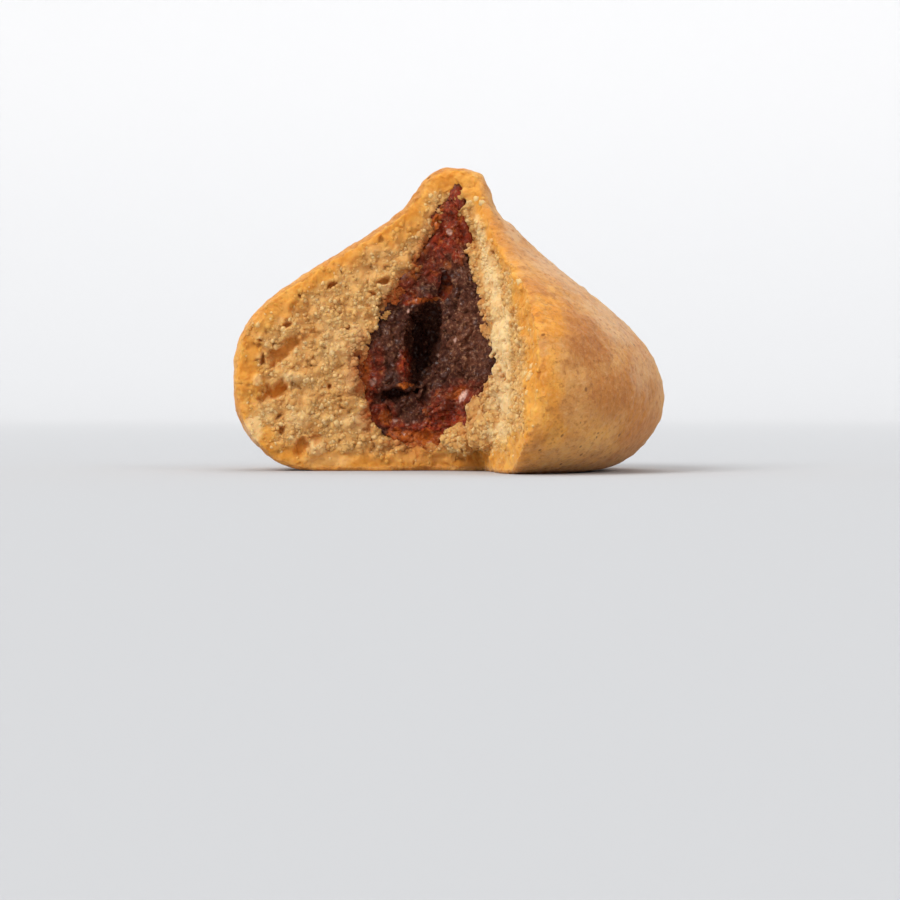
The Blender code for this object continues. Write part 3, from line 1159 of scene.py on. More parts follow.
@dataclass
class Pastry:
    """The baked dough, with its smooth crust and its two broken faces.

    Lengths are in millimetres.
    """

    form: Form
    finish: PastryFinish = field(default_factory=PastryFinish)
    cell: float = 0.36
    cuts: int = 2
    smoothing: int = 4
    crust_swell: float = 0.10
    crust_dimple: float = 0.08
    crust_grit: float = 0.05
    tip_lump: float = 0.25
    ragged: float = 0.40
    warp: float = 0.15
    clump: float = 0.30
    grain: float = 0.10
    fine: float = 0.03
    swell: float = 0.22
    gap_shade_wide: float = 0.30
    gap_shade_narrow: float = 0.15
    edge_lift: float = 0.15
    edge_lump: float = 0.35
    edge_reach: float = 0.9
    pressed_reach: float = 0.6
    crust_skin: float = 0.1
    rim_gold: float = 0.4
    rim_gold_reach: float = 2.5
    pit_depth: float = 0.5
    torn_depth: float = 1.2
    raised_height: float = 0.45
    dented_depth: float = 0.6
    dented_reach: float = 3.0
    softest: float = 0.85
    torn_evenness: float = 0.6
    pale_evenness: float = 0.6
    golden_layer: float = 2.4
    rim_round: float = 0.9
    rim_rounds: int = 24
    crust_rounds: int = 50
    lips: tuple[Lip, ...] = (
        Lip(
            (
                (-0.17, 0.098), (-0.02, 0.102), (0.01, 0.135), (0.10, 0.150), (0.09, 0.180),
                (0.12, 0.225), (0.17, 0.245), (0.18, 0.290), (0.225, 0.325), (0.22, 0.365),
                (0.18, 0.435), (0.15, 0.460), (0.17, 0.530), (0.13, 0.545), (0.13, 0.615),
                (0.10, 0.665), (0.065, 0.710), (0.08, 0.785), (0.055, 0.845), (0.03, 0.920),
            ),
            2.0,
        ),
        Lip(
            (
                (-0.140, 0.690), (-0.165, 0.635), (-0.225, 0.585), (-0.290, 0.535), (-0.335, 0.497),
                (-0.375, 0.450), (-0.386, 0.390), (-0.412, 0.330), (-0.417, 0.265), (-0.410, 0.240),
            ),
            1.6,
            0.15,
        ),
    )
    shoulders: tuple[Lump, ...] = (
        Lump(-0.400, 0.185, 0.5, 0.8, 0.5, 0.0, 0.3),
        Lump(0.155, 0.125, 1.3, 1.5, 1.0, 0.0, 0.2),
        Lump(0.055, 0.095, 1.8, 1.1, 1.2, 0.0, 0.1),
        Lump(0.215, 0.165, 1.2, 1.5, 1.2, 0.0, 0.1),
        Lump(0.205, 0.032, 0.6, 0.5, 0.6, 0.0, 0.3),
    )
    torn: tuple[Patch, ...] = (
        Patch(-0.81, 0.26, 1.6, 0.9, 15.0, 0.9, 0.6),
        Patch(-0.76, 0.40, 2.6, 0.75, 32.0, 0.7, 0.5),
        Patch(-0.87, 0.37, 0.35, 0.65, -15.0, 0.65, 0.5),
        Patch(-0.55, 0.61, 0.45, 0.22, 35.0, 0.65, 0.5),
        Patch(-0.755, 0.48, 0.5, 0.3, 20.0, 0.65, 0.5),
        Patch(-0.56, 0.28, 0.3, 0.22, 40.0, 0.6, 0.4),
        Patch(-0.70, 0.53, 1.2, 0.8, 20.0, 0.25, 0.6),
        Patch(-0.62, 0.10, 0.6, 0.7, -30.0, 0.4, 0.6),
        Patch(-0.79, 0.13, 0.32, 0.42, 0.0, 0.65, 0.5),
        Patch(-0.88, 0.43, 0.3, 0.25, 0.0, 0.4),
        Patch(-0.69, 0.08, 0.7, 0.9, -20.0, 0.6),
        Patch(-0.31, 0.625, 0.45, 0.22, 10.0, 0.6, 0.5),
        Patch(-0.36, 0.585, 0.4, 0.25, -20.0, 0.5, 0.5),
    )
    raised: tuple[Patch, ...] = (
        Patch(-0.89, 0.30, 0.8, 0.6, 40.0),
        Patch(-0.74, 0.31, 1.2, 0.6, 5.0),
        Patch(-0.80, 0.36, 1.2, 0.5, 15.0, 0.8),
        Patch(-0.61, 0.08, 0.8, 0.8, 0.0, 0.9),
        Patch(-0.30, 0.605, 0.7, 0.6, 0.0, 0.8),
        Patch(-0.70, 0.17, 1.2, 0.7, 0.0, 0.6),
    )
    dented: tuple[Patch, ...] = (
        Patch(0.24, 0.915, 1.4, 3.2, 20.0, 0.8, 0.1),
    )
    golden: tuple[Patch, ...] = (
        Patch(-0.96, 0.35, 2.2, 4.6, 5.0, 0.9),
        Patch(-0.81, 0.545, 3.8, 1.9, 37.0, 0.8),
        Patch(-0.61, 0.64, 2.4, 1.0, 28.0, 0.9),
        Patch(-0.875, 0.125, 2.4, 1.0, -42.0, 0.8),
        Patch(-0.56, 0.035, 4.5, 0.85),
        Patch(-0.12, 0.045, 3.9, 0.85),
        Patch(0.17, 0.045, 2.8, 0.75, 0.0, 0.9),
        Patch(0.02, 0.955, 3.2, 1.4),
        Patch(-0.18, 0.81, 2.4, 1.2, 48.0, 0.7),
        Patch(0.18, 0.805, 0.85, 3.2, 22.0, 0.8),
        Patch(0.335, 0.545, 0.95, 4.7, 12.0, 0.9),
        Patch(0.39, 0.28, 1.1, 5.1, 2.0),
        Patch(0.305, 0.095, 2.0, 1.2, 0.0, 0.8),
        Patch(0.47, 0.13, 1.8, 2.4, 0.0, 0.8),
        Patch(0.445, 0.50, 2.0, 3.0, 10.0),
        Patch(0.455, 0.27, 1.7, 4.3, -4.0, 0.9),
        Patch(0.325, 0.045, 2.4, 0.75, 0.0, 0.7),
        # Painted light: a paler, warmer gold on the low crust, which lies in shade near the floor.
        Patch(0.62, 0.09, 4.6, 2.4, 0.0, 0.4),
    )
    pale: tuple[Patch, ...] = (
        Patch(0.235, 0.41, 1.1, 4.3),
        Patch(0.19, 0.64, 0.9, 4.0, 12.0),
        Patch(0.245, 0.225, 1.1, 2.0),
        Patch(0.22, 0.125, 1.5, 1.1, 0.0, 0.8),
        Patch(0.135, 0.785, 0.55, 2.4, 15.0, 0.7),
        Patch(-0.89, 0.30, 0.75, 0.55, 40.0, 0.55),
        Patch(-0.745, 0.305, 1.2, 0.55, 5.0, 0.6),
        Patch(-0.30, 0.605, 0.65, 0.55, 0.0, 0.6),
        Patch(-0.355, 0.555, 0.55, 0.55, 0.0, 0.5),
        Patch(-0.70, 0.17, 1.3, 0.8, 0.0, 0.45),
        Patch(-0.615, 0.075, 0.9, 0.9, 0.0, 0.55),
        Patch(-0.50, 0.42, 2.6, 2.6, 0.0, 0.3),
        Patch(-0.46, 0.30, 2.2, 1.4, 0.0, 0.3),
        Patch(-0.435, 0.165, 1.7, 0.95, 0.0, 0.4),
        # These two: painted light, paler cream on the bottom strip, which lies in shade near the floor.
        Patch(-0.12, 0.045, 3.9, 0.7, 0.0, 0.2),
        Patch(-0.58, 0.035, 3.6, 0.7, 0.0, 0.3),
        # These four lie along the crust's upper outline: partly floury, partly painted sheen.
        Patch(0.285, 0.795, 0.65, 2.2, 26.0, 0.7),
        Patch(0.505, 0.655, 4.5, 1.1, -34.0, 0.65),
        Patch(0.755, 0.49, 3.7, 1.5, -44.0, 0.6),
        Patch(0.89, 0.325, 1.2, 2.8, 0.0, 0.4),
        Patch(-0.915, 0.130, 1.2, 2.3, -28.0, 0.75),
        # Painted light: a paler low crust, which lies in shade near the floor.
        Patch(0.64, 0.065, 5.0, 1.5, 0.0, 0.15),
    )
    browned: tuple[Patch, ...] = (
        Patch(0.65, 0.41, 2.4, 3.0, 35.0, 0.8),
        Patch(0.705, 0.26, 3.0, 2.6, 0.0, 0.4),
        Patch(0.580, 0.43, 1.7, 3.0, 0.0, 0.6),
        Patch(0.52, 0.16, 1.3, 1.9, 0.0, 0.3),
        Patch(0.93, 0.265, 0.55, 1.3, 0.0, 0.3),
        Patch(-0.22, 0.075, 3.2, 1.0, 0.0, 0.9),
        Patch(-0.39, 0.165, 1.1, 1.7, 0.0, 0.9),
        Patch(-0.44, 0.34, 1.2, 3.4, 0.0, 0.8),
        Patch(-0.24, 0.605, 1.5, 2.6, -40.0),
        Patch(-0.13, 0.73, 0.9, 2.6, -18.0, 0.9),
        Patch(-0.11, 0.845, 1.1, 2.2, -25.0, 0.8),
        Patch(-0.03, 0.94, 0.9, 0.5, 20.0, 0.5),
    )

    def build(self, skins: Skins, face: Surface, filling: Surface) -> bpy.types.Object:
        """Makes the mesh and its relief.

        Args:
            skins: The solid's baked outside and its inner faces.
            face: The skin of all that the viewer sees.
            filling: The skin of the paste's solid.

        Returns:
            The pastry.
        """
        piece = self.body(face)
        covered_up = pressed(piece.data, filling, self.pressed_reach * MM)
        depth = skins.crust.distances(positions(piece.data))
        refined(piece, (depth > self.crust_skin * MM) & (covered_up < 0.6), self.cuts)
        mesh = piece.data
        points = self.rounded(mesh, skins)
        outwards = unit(relaxed(mesh, normals(mesh), 8))
        depth = skins.crust.distances(points) / MM
        crumb = eased(0.1, 0.6, depth + 0.15 * fractal(points, 0.8 * MM, 17.0))
        near_edge = crumb * np.exp(-filling.distances(points) / (self.edge_reach * MM))
        values = self.masks(points, outwards, skins, depth, crumb, near_edge)
        rise, values[Mask.GAP_SHADE] = self.crumb_relief(points, values)
        lip = self.edge_lift + self.edge_lump * lumps(points, 0.9 * MM, 27.0)
        rise = (rise + near_edge * lip) * crumb
        rise += self.crust_relief(points) * (1.0 - crumb)
        dents = covered(points, self.form, self.dented) * (depth < self.dented_reach)
        rise -= self.dented_depth * dents
        height = points[:, 2] / MM
        level = np.stack([eased(0.0, 0.3, height)] * 2 + [eased(0.0, 0.8, height)], axis=1)
        sideways = bent(points, 1.0 * MM, 1.0, 51.0) - points
        reach = (self.warp * crumb + self.ragged * near_edge)[:, None]
        move_to(mesh, points + (outwards * rise[:, None] + sideways * reach) * MM * level)
        mesh.shade_smooth()
        store(mesh, values)
        mesh.materials.append(self.finish.material())
        return piece

    def body(self, face: Surface) -> bpy.types.Object:
        """Joins the solid with the dough that leans over the paste.

        Args:
            face: The skin of all that the viewer sees.

        Returns:
            The even mesh.
        """
        shape = opened(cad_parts["pastry"].data)
        for added in (*self.lips, *self.shoulders):
            added.add_to(shape, face, self.form)
        piece = object_from("pastry_crust_and_crumb", mesh_from("pastry_crust_and_crumb", shape))
        evened(piece, self.cell * MM, self.smoothing)
        return piece

    def rounded(self, mesh: bpy.types.Mesh, skins: Skins) -> Points:
        """Rounds the edge between the crust and the broken faces, and evens out the crust.

        Args:
            mesh: The dough's mesh.
            skins: The solid's baked outside and its inner faces.

        Returns:
            The new places of its points.
        """
        points = positions(mesh)
        to_crust, to_inner = skins.crust.distances(points), skins.inner.distances(points)
        rim = np.exp(-((np.maximum(to_crust, to_inner) / (self.rim_round * MM)) ** 2))
        rim = (rim * eased(0.5, 2.0, points[:, 2] / MM))[:, None]
        below_tip = 1.0 - self.form.above(points, 0.70, 0.85)
        flat = below_tip * (to_crust < 0.2 * MM) * eased(1.5, 4.0, to_inner / MM)
        once = relaxed(mesh, points, self.crust_rounds)
        even = 2.0 * once - relaxed(mesh, once, self.crust_rounds)
        round_rim = relaxed(mesh, points, self.rim_rounds)
        move_to(mesh, points + rim * (round_rim - points) + flat[:, None] * (even - points))
        return positions(mesh)

    def masks(
        self,
        points: Points,
        outwards: Points,
        skins: Skins,
        depth: Amount,
        crumb: Amount,
        near_edge: Amount,
    ) -> dict[Mask, Amount]:
        """Works out where each colour of the dough lies.

        Args:
            points: Places in metres, one row each.
            outwards: The direction out of the dough at each.
            skins: The solid's baked outside and its inner faces.
            depth: How far each point is below the crust, in millimetres.
            crumb: 1 on the broken faces and 0 on the crust.
            near_edge: 1 beside the paste, falling to 0 away from it.

        Returns:
            The amounts, by name.
        """
        towards = unit(np.array(self.form.viewpoint.place) - points)
        shown = eased(-0.5, 0.0, np.einsum("ij,ij->i", outwards, towards))
        layer = depth + 0.9 * fractal(points, 2.2 * MM, 16.0)
        under_crust = crumb * (1.0 - eased(0.2 * self.golden_layer, self.golden_layer, layer))
        rim = self.rim_gold * np.exp(-skins.inner.distances(points) / (self.rim_gold_reach * MM))
        golden = covered(points, self.form, self.golden) * shown
        stained = np.clip(2.2 * near_edge - 0.15 + 0.4 * fractal(points, 0.8 * MM, 29.0), 0.0, 1.0)
        browned = covered(points, self.form, self.browned) * shown
        return {
            Mask.CRUMB: crumb,
            Mask.GOLD: np.maximum.reduce([under_crust, rim * (1.0 - crumb), golden]),
            Mask.PALE_AND_PAINTED_LIGHT: covered(points, self.form, self.pale) * shown,
            Mask.BROWNED: browned * (1.0 - crumb + crumb * stained) + 0.5 * near_edge**3,
            Mask.TORN: covered(points, self.form, self.torn) * crumb * shown,
        }

    def crumb_relief(self, points: Points, values: dict[Mask, Amount]) -> tuple[Amount, Amount]:
        """Works out the relief of the broken faces.

        Args:
            points: Places in metres, one row each.
            values: Where each colour of the dough lies.

        Returns:
            How far each point rises, in millimetres, and how deep it is in a gap or hole, from 0 to 1,
            for the shade painted there.
        """
        moved = bent(points, 0.9 * MM, 0.3 * MM, 3.0)
        middle, edge = cells(moved, 1.05 * MM, 7.0)
        small_middle, small_edge = cells(moved, 0.5 * MM, 9.0)
        patch = fractal(points, 2.6 * MM, 15.0)
        hole = eased(0.35, 0.85, fractal(points, 0.75 * MM, 19.0, 2)) * eased(-0.5, 0.4, patch)
        tip = self.form.tip(points)
        soft = (0.6 + 0.25 * tip) * values[Mask.GOLD] + 0.4 * values[Mask.PALE_AND_PAINTED_LIGHT]
        coarse = 1.0 - np.minimum(soft, self.softest)
        rise = self.clump * (0.5 - middle) * 2.0 + self.grain * (0.5 - small_middle)
        rise = rise * coarse + self.swell * patch + self.fine * fractal(points, 0.3 * MM, 21.0, 2)
        rise -= self.pit_depth * hole * coarse
        torn = values[Mask.TORN]
        rise = rise * (1.0 - self.torn_evenness * torn) - self.torn_depth * torn
        rise += self.raised_height * covered(points, self.form, self.raised) * (1.0 - torn)
        between = (1.0 - eased(0.0, 0.3, edge)) * self.gap_shade_wide
        between += (1.0 - eased(0.0, 0.3, small_edge)) * self.gap_shade_narrow
        # Painted shade: how dark the gaps between the grains and the holes are painted.
        gap = np.clip(hole * 0.9 + between * coarse, 0.0, 1.0)
        gap *= 1.0 - self.pale_evenness * values[Mask.PALE_AND_PAINTED_LIGHT]
        return rise, gap * values[Mask.CRUMB] * (1.0 - torn)

    def crust_relief(self, points: Points) -> Amount:
        """Works out the relief of the baked outside.

        Args:
            points: Places in metres, one row each.

        Returns:
            How far each point rises, in millimetres.
        """
        tip = self.form.above(points, 0.72, 0.92)
        rise = self.crust_swell * lumps(points, 4.5 * MM, 31.0)
        rise += self.crust_dimple * fractal(points, 1.3 * MM, 33.0)
        rise += self.crust_grit * lumps(points, 0.5 * MM, 37.0)
        return rise + self.tip_lump * tip * fractal(points, 2.6 * MM, 35.0, 2)


@dataclass
class DatePaste:
    """The date paste, with its folds and torn crevices.

    Lengths are in millimetres.
    """

    form: Form
    finish: PasteFinish = field(default_factory=PasteFinish)
    cell: float = 0.24
    cuts: int = 2
    smoothing: int = 3
    seal: float = 0.55
    crease: float = 0.30
    fold: float = 0.38
    lump: float = 0.26
    fibre: float = 0.12
    grit: float = 0.07
    sunken_depth: float = 0.5
    pressed_reach: float = 0.9
    shade_reach: float = 3.0
    shade_rays: int = 9
    tears: tuple[Tear, ...] = (
        Tear(
            (
                (-0.195, 0.540), (-0.140, 0.552), (-0.050, 0.552), (-0.050, 0.463), (-0.065, 0.390),
                (-0.098, 0.337), (-0.135, 0.291), (-0.172, 0.288), (-0.180, 0.364), (-0.177, 0.446),
                (-0.200, 0.496),
            ),
            3.2,
        ),
        Tear(((-0.365, 0.268), (-0.170, 0.272), (-0.120, 0.282), (-0.120, 0.248), (-0.350, 0.235)), 1.8),
    )
    swellings: tuple[Lump, ...] = (
        Lump(-0.112, 0.572, 1.7, 0.40, 0.9, 3.0, 0.3),
        Lump(-0.290, 0.400, 1.7, 3.2, 1.0, 5.0, 0.45),
        Lump(0.090, 0.440, 2.1, 3.3, 0.9, -8.0, 0.5),
        Lump(-0.020, 0.500, 0.5, 2.2, 0.8, 0.0, 0.3),
        Lump(-0.180, 0.620, 1.4, 1.1, 0.9, 30.0, 0.45),
        Lump(0.060, 0.600, 1.0, 2.1, 0.7, -15.0),
        Lump(-0.028, 0.600, 0.9, 1.5, 0.6, 4.0, -0.9),
        Lump(-0.010, 0.226, 2.7, 1.2, 1.5, 26.0, 0.5),
        Lump(-0.040, 0.150, 2.4, 0.8, 1.0, 8.0, 0.5),
        Lump(-0.215, 0.335, 0.6, 1.5, 1.0, 4.0, 0.3),
        Lump(-0.216, 0.290, 0.8, 0.28, 1.1, 0.0, 0.3),
        Lump(0.158, 0.300, 1.0, 1.9, 0.7, 10.0),
        Lump(-0.270, 0.135, 1.6, 0.7, 0.7, -15.0),
        Lump(0.019, 0.800, 0.7, 3.0, 0.6, 12.0, 0.3),
        Lump(-0.045, 0.800, 0.85, 2.6, 0.8, 12.0, 0.25),
        Lump(-0.060, 0.842, 0.70, 1.7, 0.8, -24.0, 0.15),
    )
    sunken: tuple[Patch, ...] = (
        Patch(-0.235, 0.195, 2.1, 1.1, -5.0),
        Patch(-0.12, 0.25, 0.8, 1.0),
        Patch(-0.033, 0.612, 0.75, 1.3, 0.0, 1.0, 0.2),
    )
    red: tuple[Patch, ...] = (
        Patch(0.01, 0.86, 1.3, 2.6, 12.0),
        Patch(-0.04, 0.78, 1.2, 2.6, 15.0),
        Patch(0.02, 0.80, 1.4, 3.4, 10.0, 0.8),
        Patch(-0.09, 0.69, 1.5, 2.0, 0.0, 0.55),
        Patch(-0.033, 0.61, 0.8, 1.4),
        Patch(-0.15, 0.562, 1.9, 0.4, 8.0, 0.8),
        Patch(-0.385, 0.305, 1.1, 3.0, 0.0, 0.9),
        Patch(-0.335, 0.345, 0.7, 2.4, 0.0, 0.5),
        Patch(-0.21, 0.34, 0.8, 1.9, 0.0, 0.9),
        Patch(-0.01, 0.23, 3.2, 1.6, 28.0, 0.6),
        Patch(0.02, 0.17, 2.4, 1.2, 10.0),
        Patch(-0.06, 0.15, 2.0, 1.2),
        Patch(-0.16, 0.12, 4.0, 1.2, -5.0),
        Patch(-0.31, 0.18, 1.4, 1.5, -30.0, 0.8),
        Patch(0.10, 0.22, 1.4, 1.6, 0.0, 0.7),
        Patch(-0.20, 0.60, 1.4, 1.6, -30.0, 0.5),
    )
    orange: tuple[Patch, ...] = (
        Patch(-0.17, 0.66, 0.8, 1.0, 20.0, 0.7),
        Patch(-0.02, 0.675, 0.55, 0.5, 0.0, 0.6),
        Patch(-0.12, 0.56, 1.7, 0.22, 5.0, 0.7),
        Patch(-0.18, 0.11, 3.6, 0.8, -5.0, 0.9),
        Patch(-0.30, 0.175, 0.7, 0.8, 0.0, 0.8),
        Patch(-0.40, 0.31, 0.6, 2.2, 0.0, 0.7),
        Patch(-0.21, 0.28, 0.8, 0.3, 0.0, 0.9),
        Patch(-0.08, 0.80, 0.5, 3.0, -20.0, 0.9),
        Patch(0.02, 0.255, 1.3, 0.5, 28.0, 0.4),
        Patch(0.0, 0.115, 0.8, 0.3, 0.0, 0.5),
    )
    # Where the grey-brown lies: partly the paste's own tone, partly painted sheen.
    grey_tone_and_sheen: tuple[Patch, ...] = (
        Patch(0.09, 0.44, 2.7, 4.6, -6.0),
        Patch(-0.29, 0.44, 1.4, 2.4, 0.0, 0.45),
        Patch(-0.15, 0.61, 1.4, 1.1, 20.0, 0.5),
        Patch(0.05, 0.68, 1.2, 2.6, 0.0, 0.7),
        Patch(-0.23, 0.19, 1.8, 1.0, 0.0, 0.4),
        Patch(0.17, 0.28, 1.1, 2.0, 0.0, 0.5),
    )
    # Where the painted highlights lie: small glints on the paste.
    pale: tuple[Patch, ...] = (
        Patch(0.055, 0.25, 0.35, 0.65, -25.0, 1.0, 0.7),
        Patch(-0.005, 0.785, 0.25, 0.3, 0.0, 0.8, 0.7),
        Patch(-0.195, 0.525, 0.15, 0.3, -15.0, 0.7, 0.6),
        Patch(-0.16, 0.47, 0.2, 0.2, 0.0, 0.5, 0.8),
        Patch(-0.06, 0.38, 0.17, 0.2, 0.0, 0.6, 0.6),
        Patch(0.02, 0.43, 0.12, 0.3, 0.0, 0.6, 0.6),
        Patch(-0.25, 0.165, 0.25, 0.2, 0.0, 0.7, 0.8),
        Patch(-0.20, 0.150, 0.3, 0.15, 10.0, 0.7, 0.8),
        Patch(-0.17, 0.160, 0.15, 0.2, 0.0, 0.6, 0.8),
        Patch(-0.36, 0.295, 0.4, 0.3, 0.0, 0.4, 1.0),
    )

    def build(self, pastry: Surface, seen: Surface) -> bpy.types.Object:
        """Makes the mesh and its relief.

        Args:
            pastry: The skin of the pastry's solid.
            seen: The skin of all that the viewer sees.

        Returns:
            The filling.
        """
        piece = self.body(seen)
        reach = self.pressed_reach * MM
        refined(piece, pressed(piece.data, pastry, reach) < 0.5, self.cuts)
        mesh = piece.data
        hidden = pressed(mesh, pastry, reach)
        points = positions(mesh)
        outwards = normals(mesh)
        rise = self.relief(points) - self.sunken_depth * covered(points, self.form, self.sunken)
        moved = points + unit(relaxed(mesh, outwards, 4)) * (rise * (1.0 - hidden) * MM)[:, None]
        moved += outwards * (self.seal * hidden * MM)[:, None]
        move_to(mesh, moved)
        mesh.shade_smooth()
        skin = Surface.of(mesh)
        # How much of each point's view out is blocked, for the shade painted into the crevices.
        blocked = skin.hidden(moved, normals(mesh), self.shade_reach * MM, self.shade_rays)
        shade = eased(0.45, 0.95, relaxed(mesh, blocked * (hidden < 0.9), 3))
        groups = {
            Mask.RED: self.red,
            Mask.ORANGE: self.orange,
            Mask.GREY_TONE_AND_SHEEN: self.grey_tone_and_sheen,
            Mask.PALE_AND_PAINTED_LIGHT: self.pale,
        }
        values = {mask: covered(points, self.form, patches) for mask, patches in groups.items()}
        store(mesh, values | {Mask.SHADE: shade})
        mesh.materials.append(self.finish.material())
        return piece

    def body(self, seen: Surface) -> bpy.types.Object:
        """Cuts the tears into the solid and adds the swellings.

        Args:
            seen: The skin of all that the viewer sees.

        Returns:
            The even mesh.
        """
        piece = object_from("date_paste_filling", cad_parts["filling"].data.copy())
        piece.data.materials.clear()
        cutters = [tear.cutter(seen, self.form) for tear in self.tears]
        for cutter in cutters:
            cut = piece.modifiers.new("tear", "BOOLEAN")
            cut.operation = "DIFFERENCE"
            cut.object = cutter
        applied(piece)
        for cutter in cutters:
            bpy.data.objects.remove(cutter)
        shape = opened(piece.data)
        for swelling in self.swellings:
            swelling.add_to(shape, seen, self.form)
        put_back(shape, piece.data)
        evened(piece, self.cell * MM, self.smoothing)
        return piece

    def relief(self, points: Points) -> Amount:
        """Works out the relief of the torn face.

        Args:
            points: Places in metres, one row each.

        Returns:
            How far each point rises, in millimetres.
        """
        moved = bent(points, 1.4 * MM, 0.4 * MM, 45.0)
        middle = cells(moved, 1.9 * MM, 41.0)[0]
        rise = self.fold * (0.5 - middle) + self.lump * fractal(points, 1.0 * MM, 43.0)
        rise -= self.crease * creases(moved, 1.7 * MM, 49.0)
        rise += self.fibre * fractal(points, 0.45 * MM, 47.0, 2)
        return rise + self.grit * lumps(points, 0.25 * MM, 53.0)


@dataclass
class SemolinaGrains:
    """The grains that stand out of the crumb, as one mesh.

    Lengths are in millimetres.
    """

    form: Form
    finish: GrainFinish = field(default_factory=GrainFinish)
    count: int = 5400
    middling: float = 0.19
    spread: float = 0.30
    largest: float = 0.36
    creamy: float = 0.55
    creamy_share: float = 0.2
    bright_count: int = 3
    bright_radius: float = 0.42
    bright_tone: float = 0.7
    sunk: float = 0.4
    # The share of the crumb's painted gap shade that the grains keep.
    gap_shade_share: float = 0.4
    above_floor: float = 0.6
    turned_away: float = 0.3
    knobbly: tuple[float, float] = (0.75, 1.15)
    stretched: tuple[float, float] = (0.7, 1.25)
    seed: int = 5
    bright: tuple[Patch, ...] = (
        Patch(0.135, 0.89, 0.5, 0.4, 0.0, 1.0, 0.1),
        Patch(0.185, 0.86, 0.4, 0.4, 0.0, 1.0, 0.1),
        Patch(0.20, 0.805, 0.4, 0.6, 0.0, 1.0, 0.1),
        Patch(0.27, 0.71, 0.5, 0.4, 0.0, 1.0, 0.1),
        Patch(0.33, 0.625, 0.5, 0.5, 0.0, 1.0, 0.1),
        Patch(0.37, 0.325, 0.6, 0.7, 0.0, 1.0, 0.1),
        Patch(0.27, 0.27, 0.7, 0.7, 0.0, 1.0, 0.1),
        Patch(0.285, 0.14, 0.5, 0.6, 0.0, 1.0, 0.1),
        Patch(0.18, 0.56, 0.4, 0.5, 0.0, 1.0, 0.1),
    )

    def build(self, pastry: bpy.types.Object) -> bpy.types.Object:
        """Sets grains into the pastry's broken faces.

        Args:
            pastry: The finished pastry.

        Returns:
            The grains.
        """
        draw = np.random.default_rng(self.seed)
        mesh = pastry.data
        points, outwards = positions(mesh), normals(mesh)
        free = (stored(mesh, Mask.CRUMB) > 0.6) & (outwards[:, 1] < self.turned_away)
        free &= points[:, 2] > self.above_floor * MM
        tip = self.form.tip(points)
        smooth = np.maximum(stored(mesh, Mask.TORN), (0.85 + 0.15 * tip) * stored(mesh, Mask.GOLD))
        smooth = np.maximum(smooth, 0.5 * stored(mesh, Mask.PALE_AND_PAINTED_LIGHT))
        rough = smooth < draw.uniform(0.1, 0.9, len(points))
        chosen = draw.choice(np.flatnonzero(free & rough), self.count, replace=False)
        special = covered(points, self.form, self.bright) > 0.5
        wanted = self.bright_count * len(self.bright)
        bright = draw.choice(np.flatnonzero(free & special), wanted, replace=False)
        radius = self.middling * np.exp(self.spread * draw.standard_normal(self.count))
        radius = np.minimum(radius, self.largest)
        bright_radius = self.bright_radius * draw.uniform(0.6, 1.0, len(bright))
        anchors = np.concatenate([chosen, bright])
        sizes = np.concatenate([radius, bright_radius]) * MM
        creamy = self.creamy * (draw.random(self.count) < self.creamy_share)
        pale = np.concatenate([creamy, np.full(len(bright), self.bright_tone)])
        made, corners = self.grain_mesh(points[anchors], outwards[anchors], sizes, draw)
        kept = (Mask.GOLD, Mask.PALE_AND_PAINTED_LIGHT, Mask.BROWNED, Mask.TORN, Mask.GAP_SHADE)
        values = {mask: stored(mesh, mask)[anchors] for mask in kept}
        values[Mask.GAP_SHADE] = values[Mask.GAP_SHADE] * self.gap_shade_share
        values[Mask.PALE_AND_PAINTED_LIGHT] = np.maximum(values[Mask.PALE_AND_PAINTED_LIGHT], pale)
        values[Mask.TINT] = draw.random(len(anchors)) * (1.0 - pale)
        store(made, {mask: np.repeat(amount, corners) for mask, amount in values.items()})
        made.materials.append(self.finish.material())
        return object_from("semolina_grains", made)

    def grain_mesh(
        self, places: Points, outwards: Points, sizes: Amount, draw: np.random.Generator
    ) -> tuple[bpy.types.Mesh, int]:
        """Makes uneven grains, each sunk by a share of its radius.

        Args:
            places: Where each grain touches the face, in metres.
            outwards: The face's direction there.
            sizes: Each grain's mean radius, in metres.
            draw: Where the random numbers come from.

        Returns:
            The mesh, and how many corners each grain has.
        """
        shape = bmesh.new()
        bmesh.ops.create_icosphere(shape, subdivisions=1, radius=1.0)
        ball = np.array([v.co for v in shape.verts])
        sides = np.array([[v.index for v in f.verts] for f in shape.faces])
        shape.free()
        count, corners = len(places), len(ball)
        grains = ball[None] * draw.uniform(*self.knobbly, (count, corners, 1))
        grains *= draw.uniform(*self.stretched, (count, 1, 3))
        turns = np.linalg.qr(draw.standard_normal((count, 3, 3)))[0]
        grains = np.einsum("nij,ncj->nci", turns, grains) * sizes[:, None, None]
        grains += (places - outwards * (sizes * self.sunk)[:, None])[:, None]
        faces = sides[None] + (np.arange(count) * corners)[:, None, None]
        made = bpy.data.meshes.new("semolina_grains")
        made.from_pydata(grains.reshape(-1, 3).tolist(), [], faces.reshape(-1, 3).tolist())
        made.shade_smooth()
        return made, corners


# ---------------------------------------------------------------------------------------------
# Studio
# ---------------------------------------------------------------------------------------------


@dataclass(frozen=True)
class Lamp:
    """A large soft light, far off. Its direction points from the cookie to it."""

    name: str
    direction: tuple[float, float, float]
    width: float
    strength: float

    def hang(self) -> None:
        """Adds the light to the scene."""
        lamp = bpy.data.lights.new(self.name, "SUN")
        lamp.angle = math.radians(self.width)
        lamp.energy = self.strength
        made = object_from(self.name, lamp)
        made.rotation_euler = Vector(self.direction).to_track_quat("Z", "Y").to_euler()


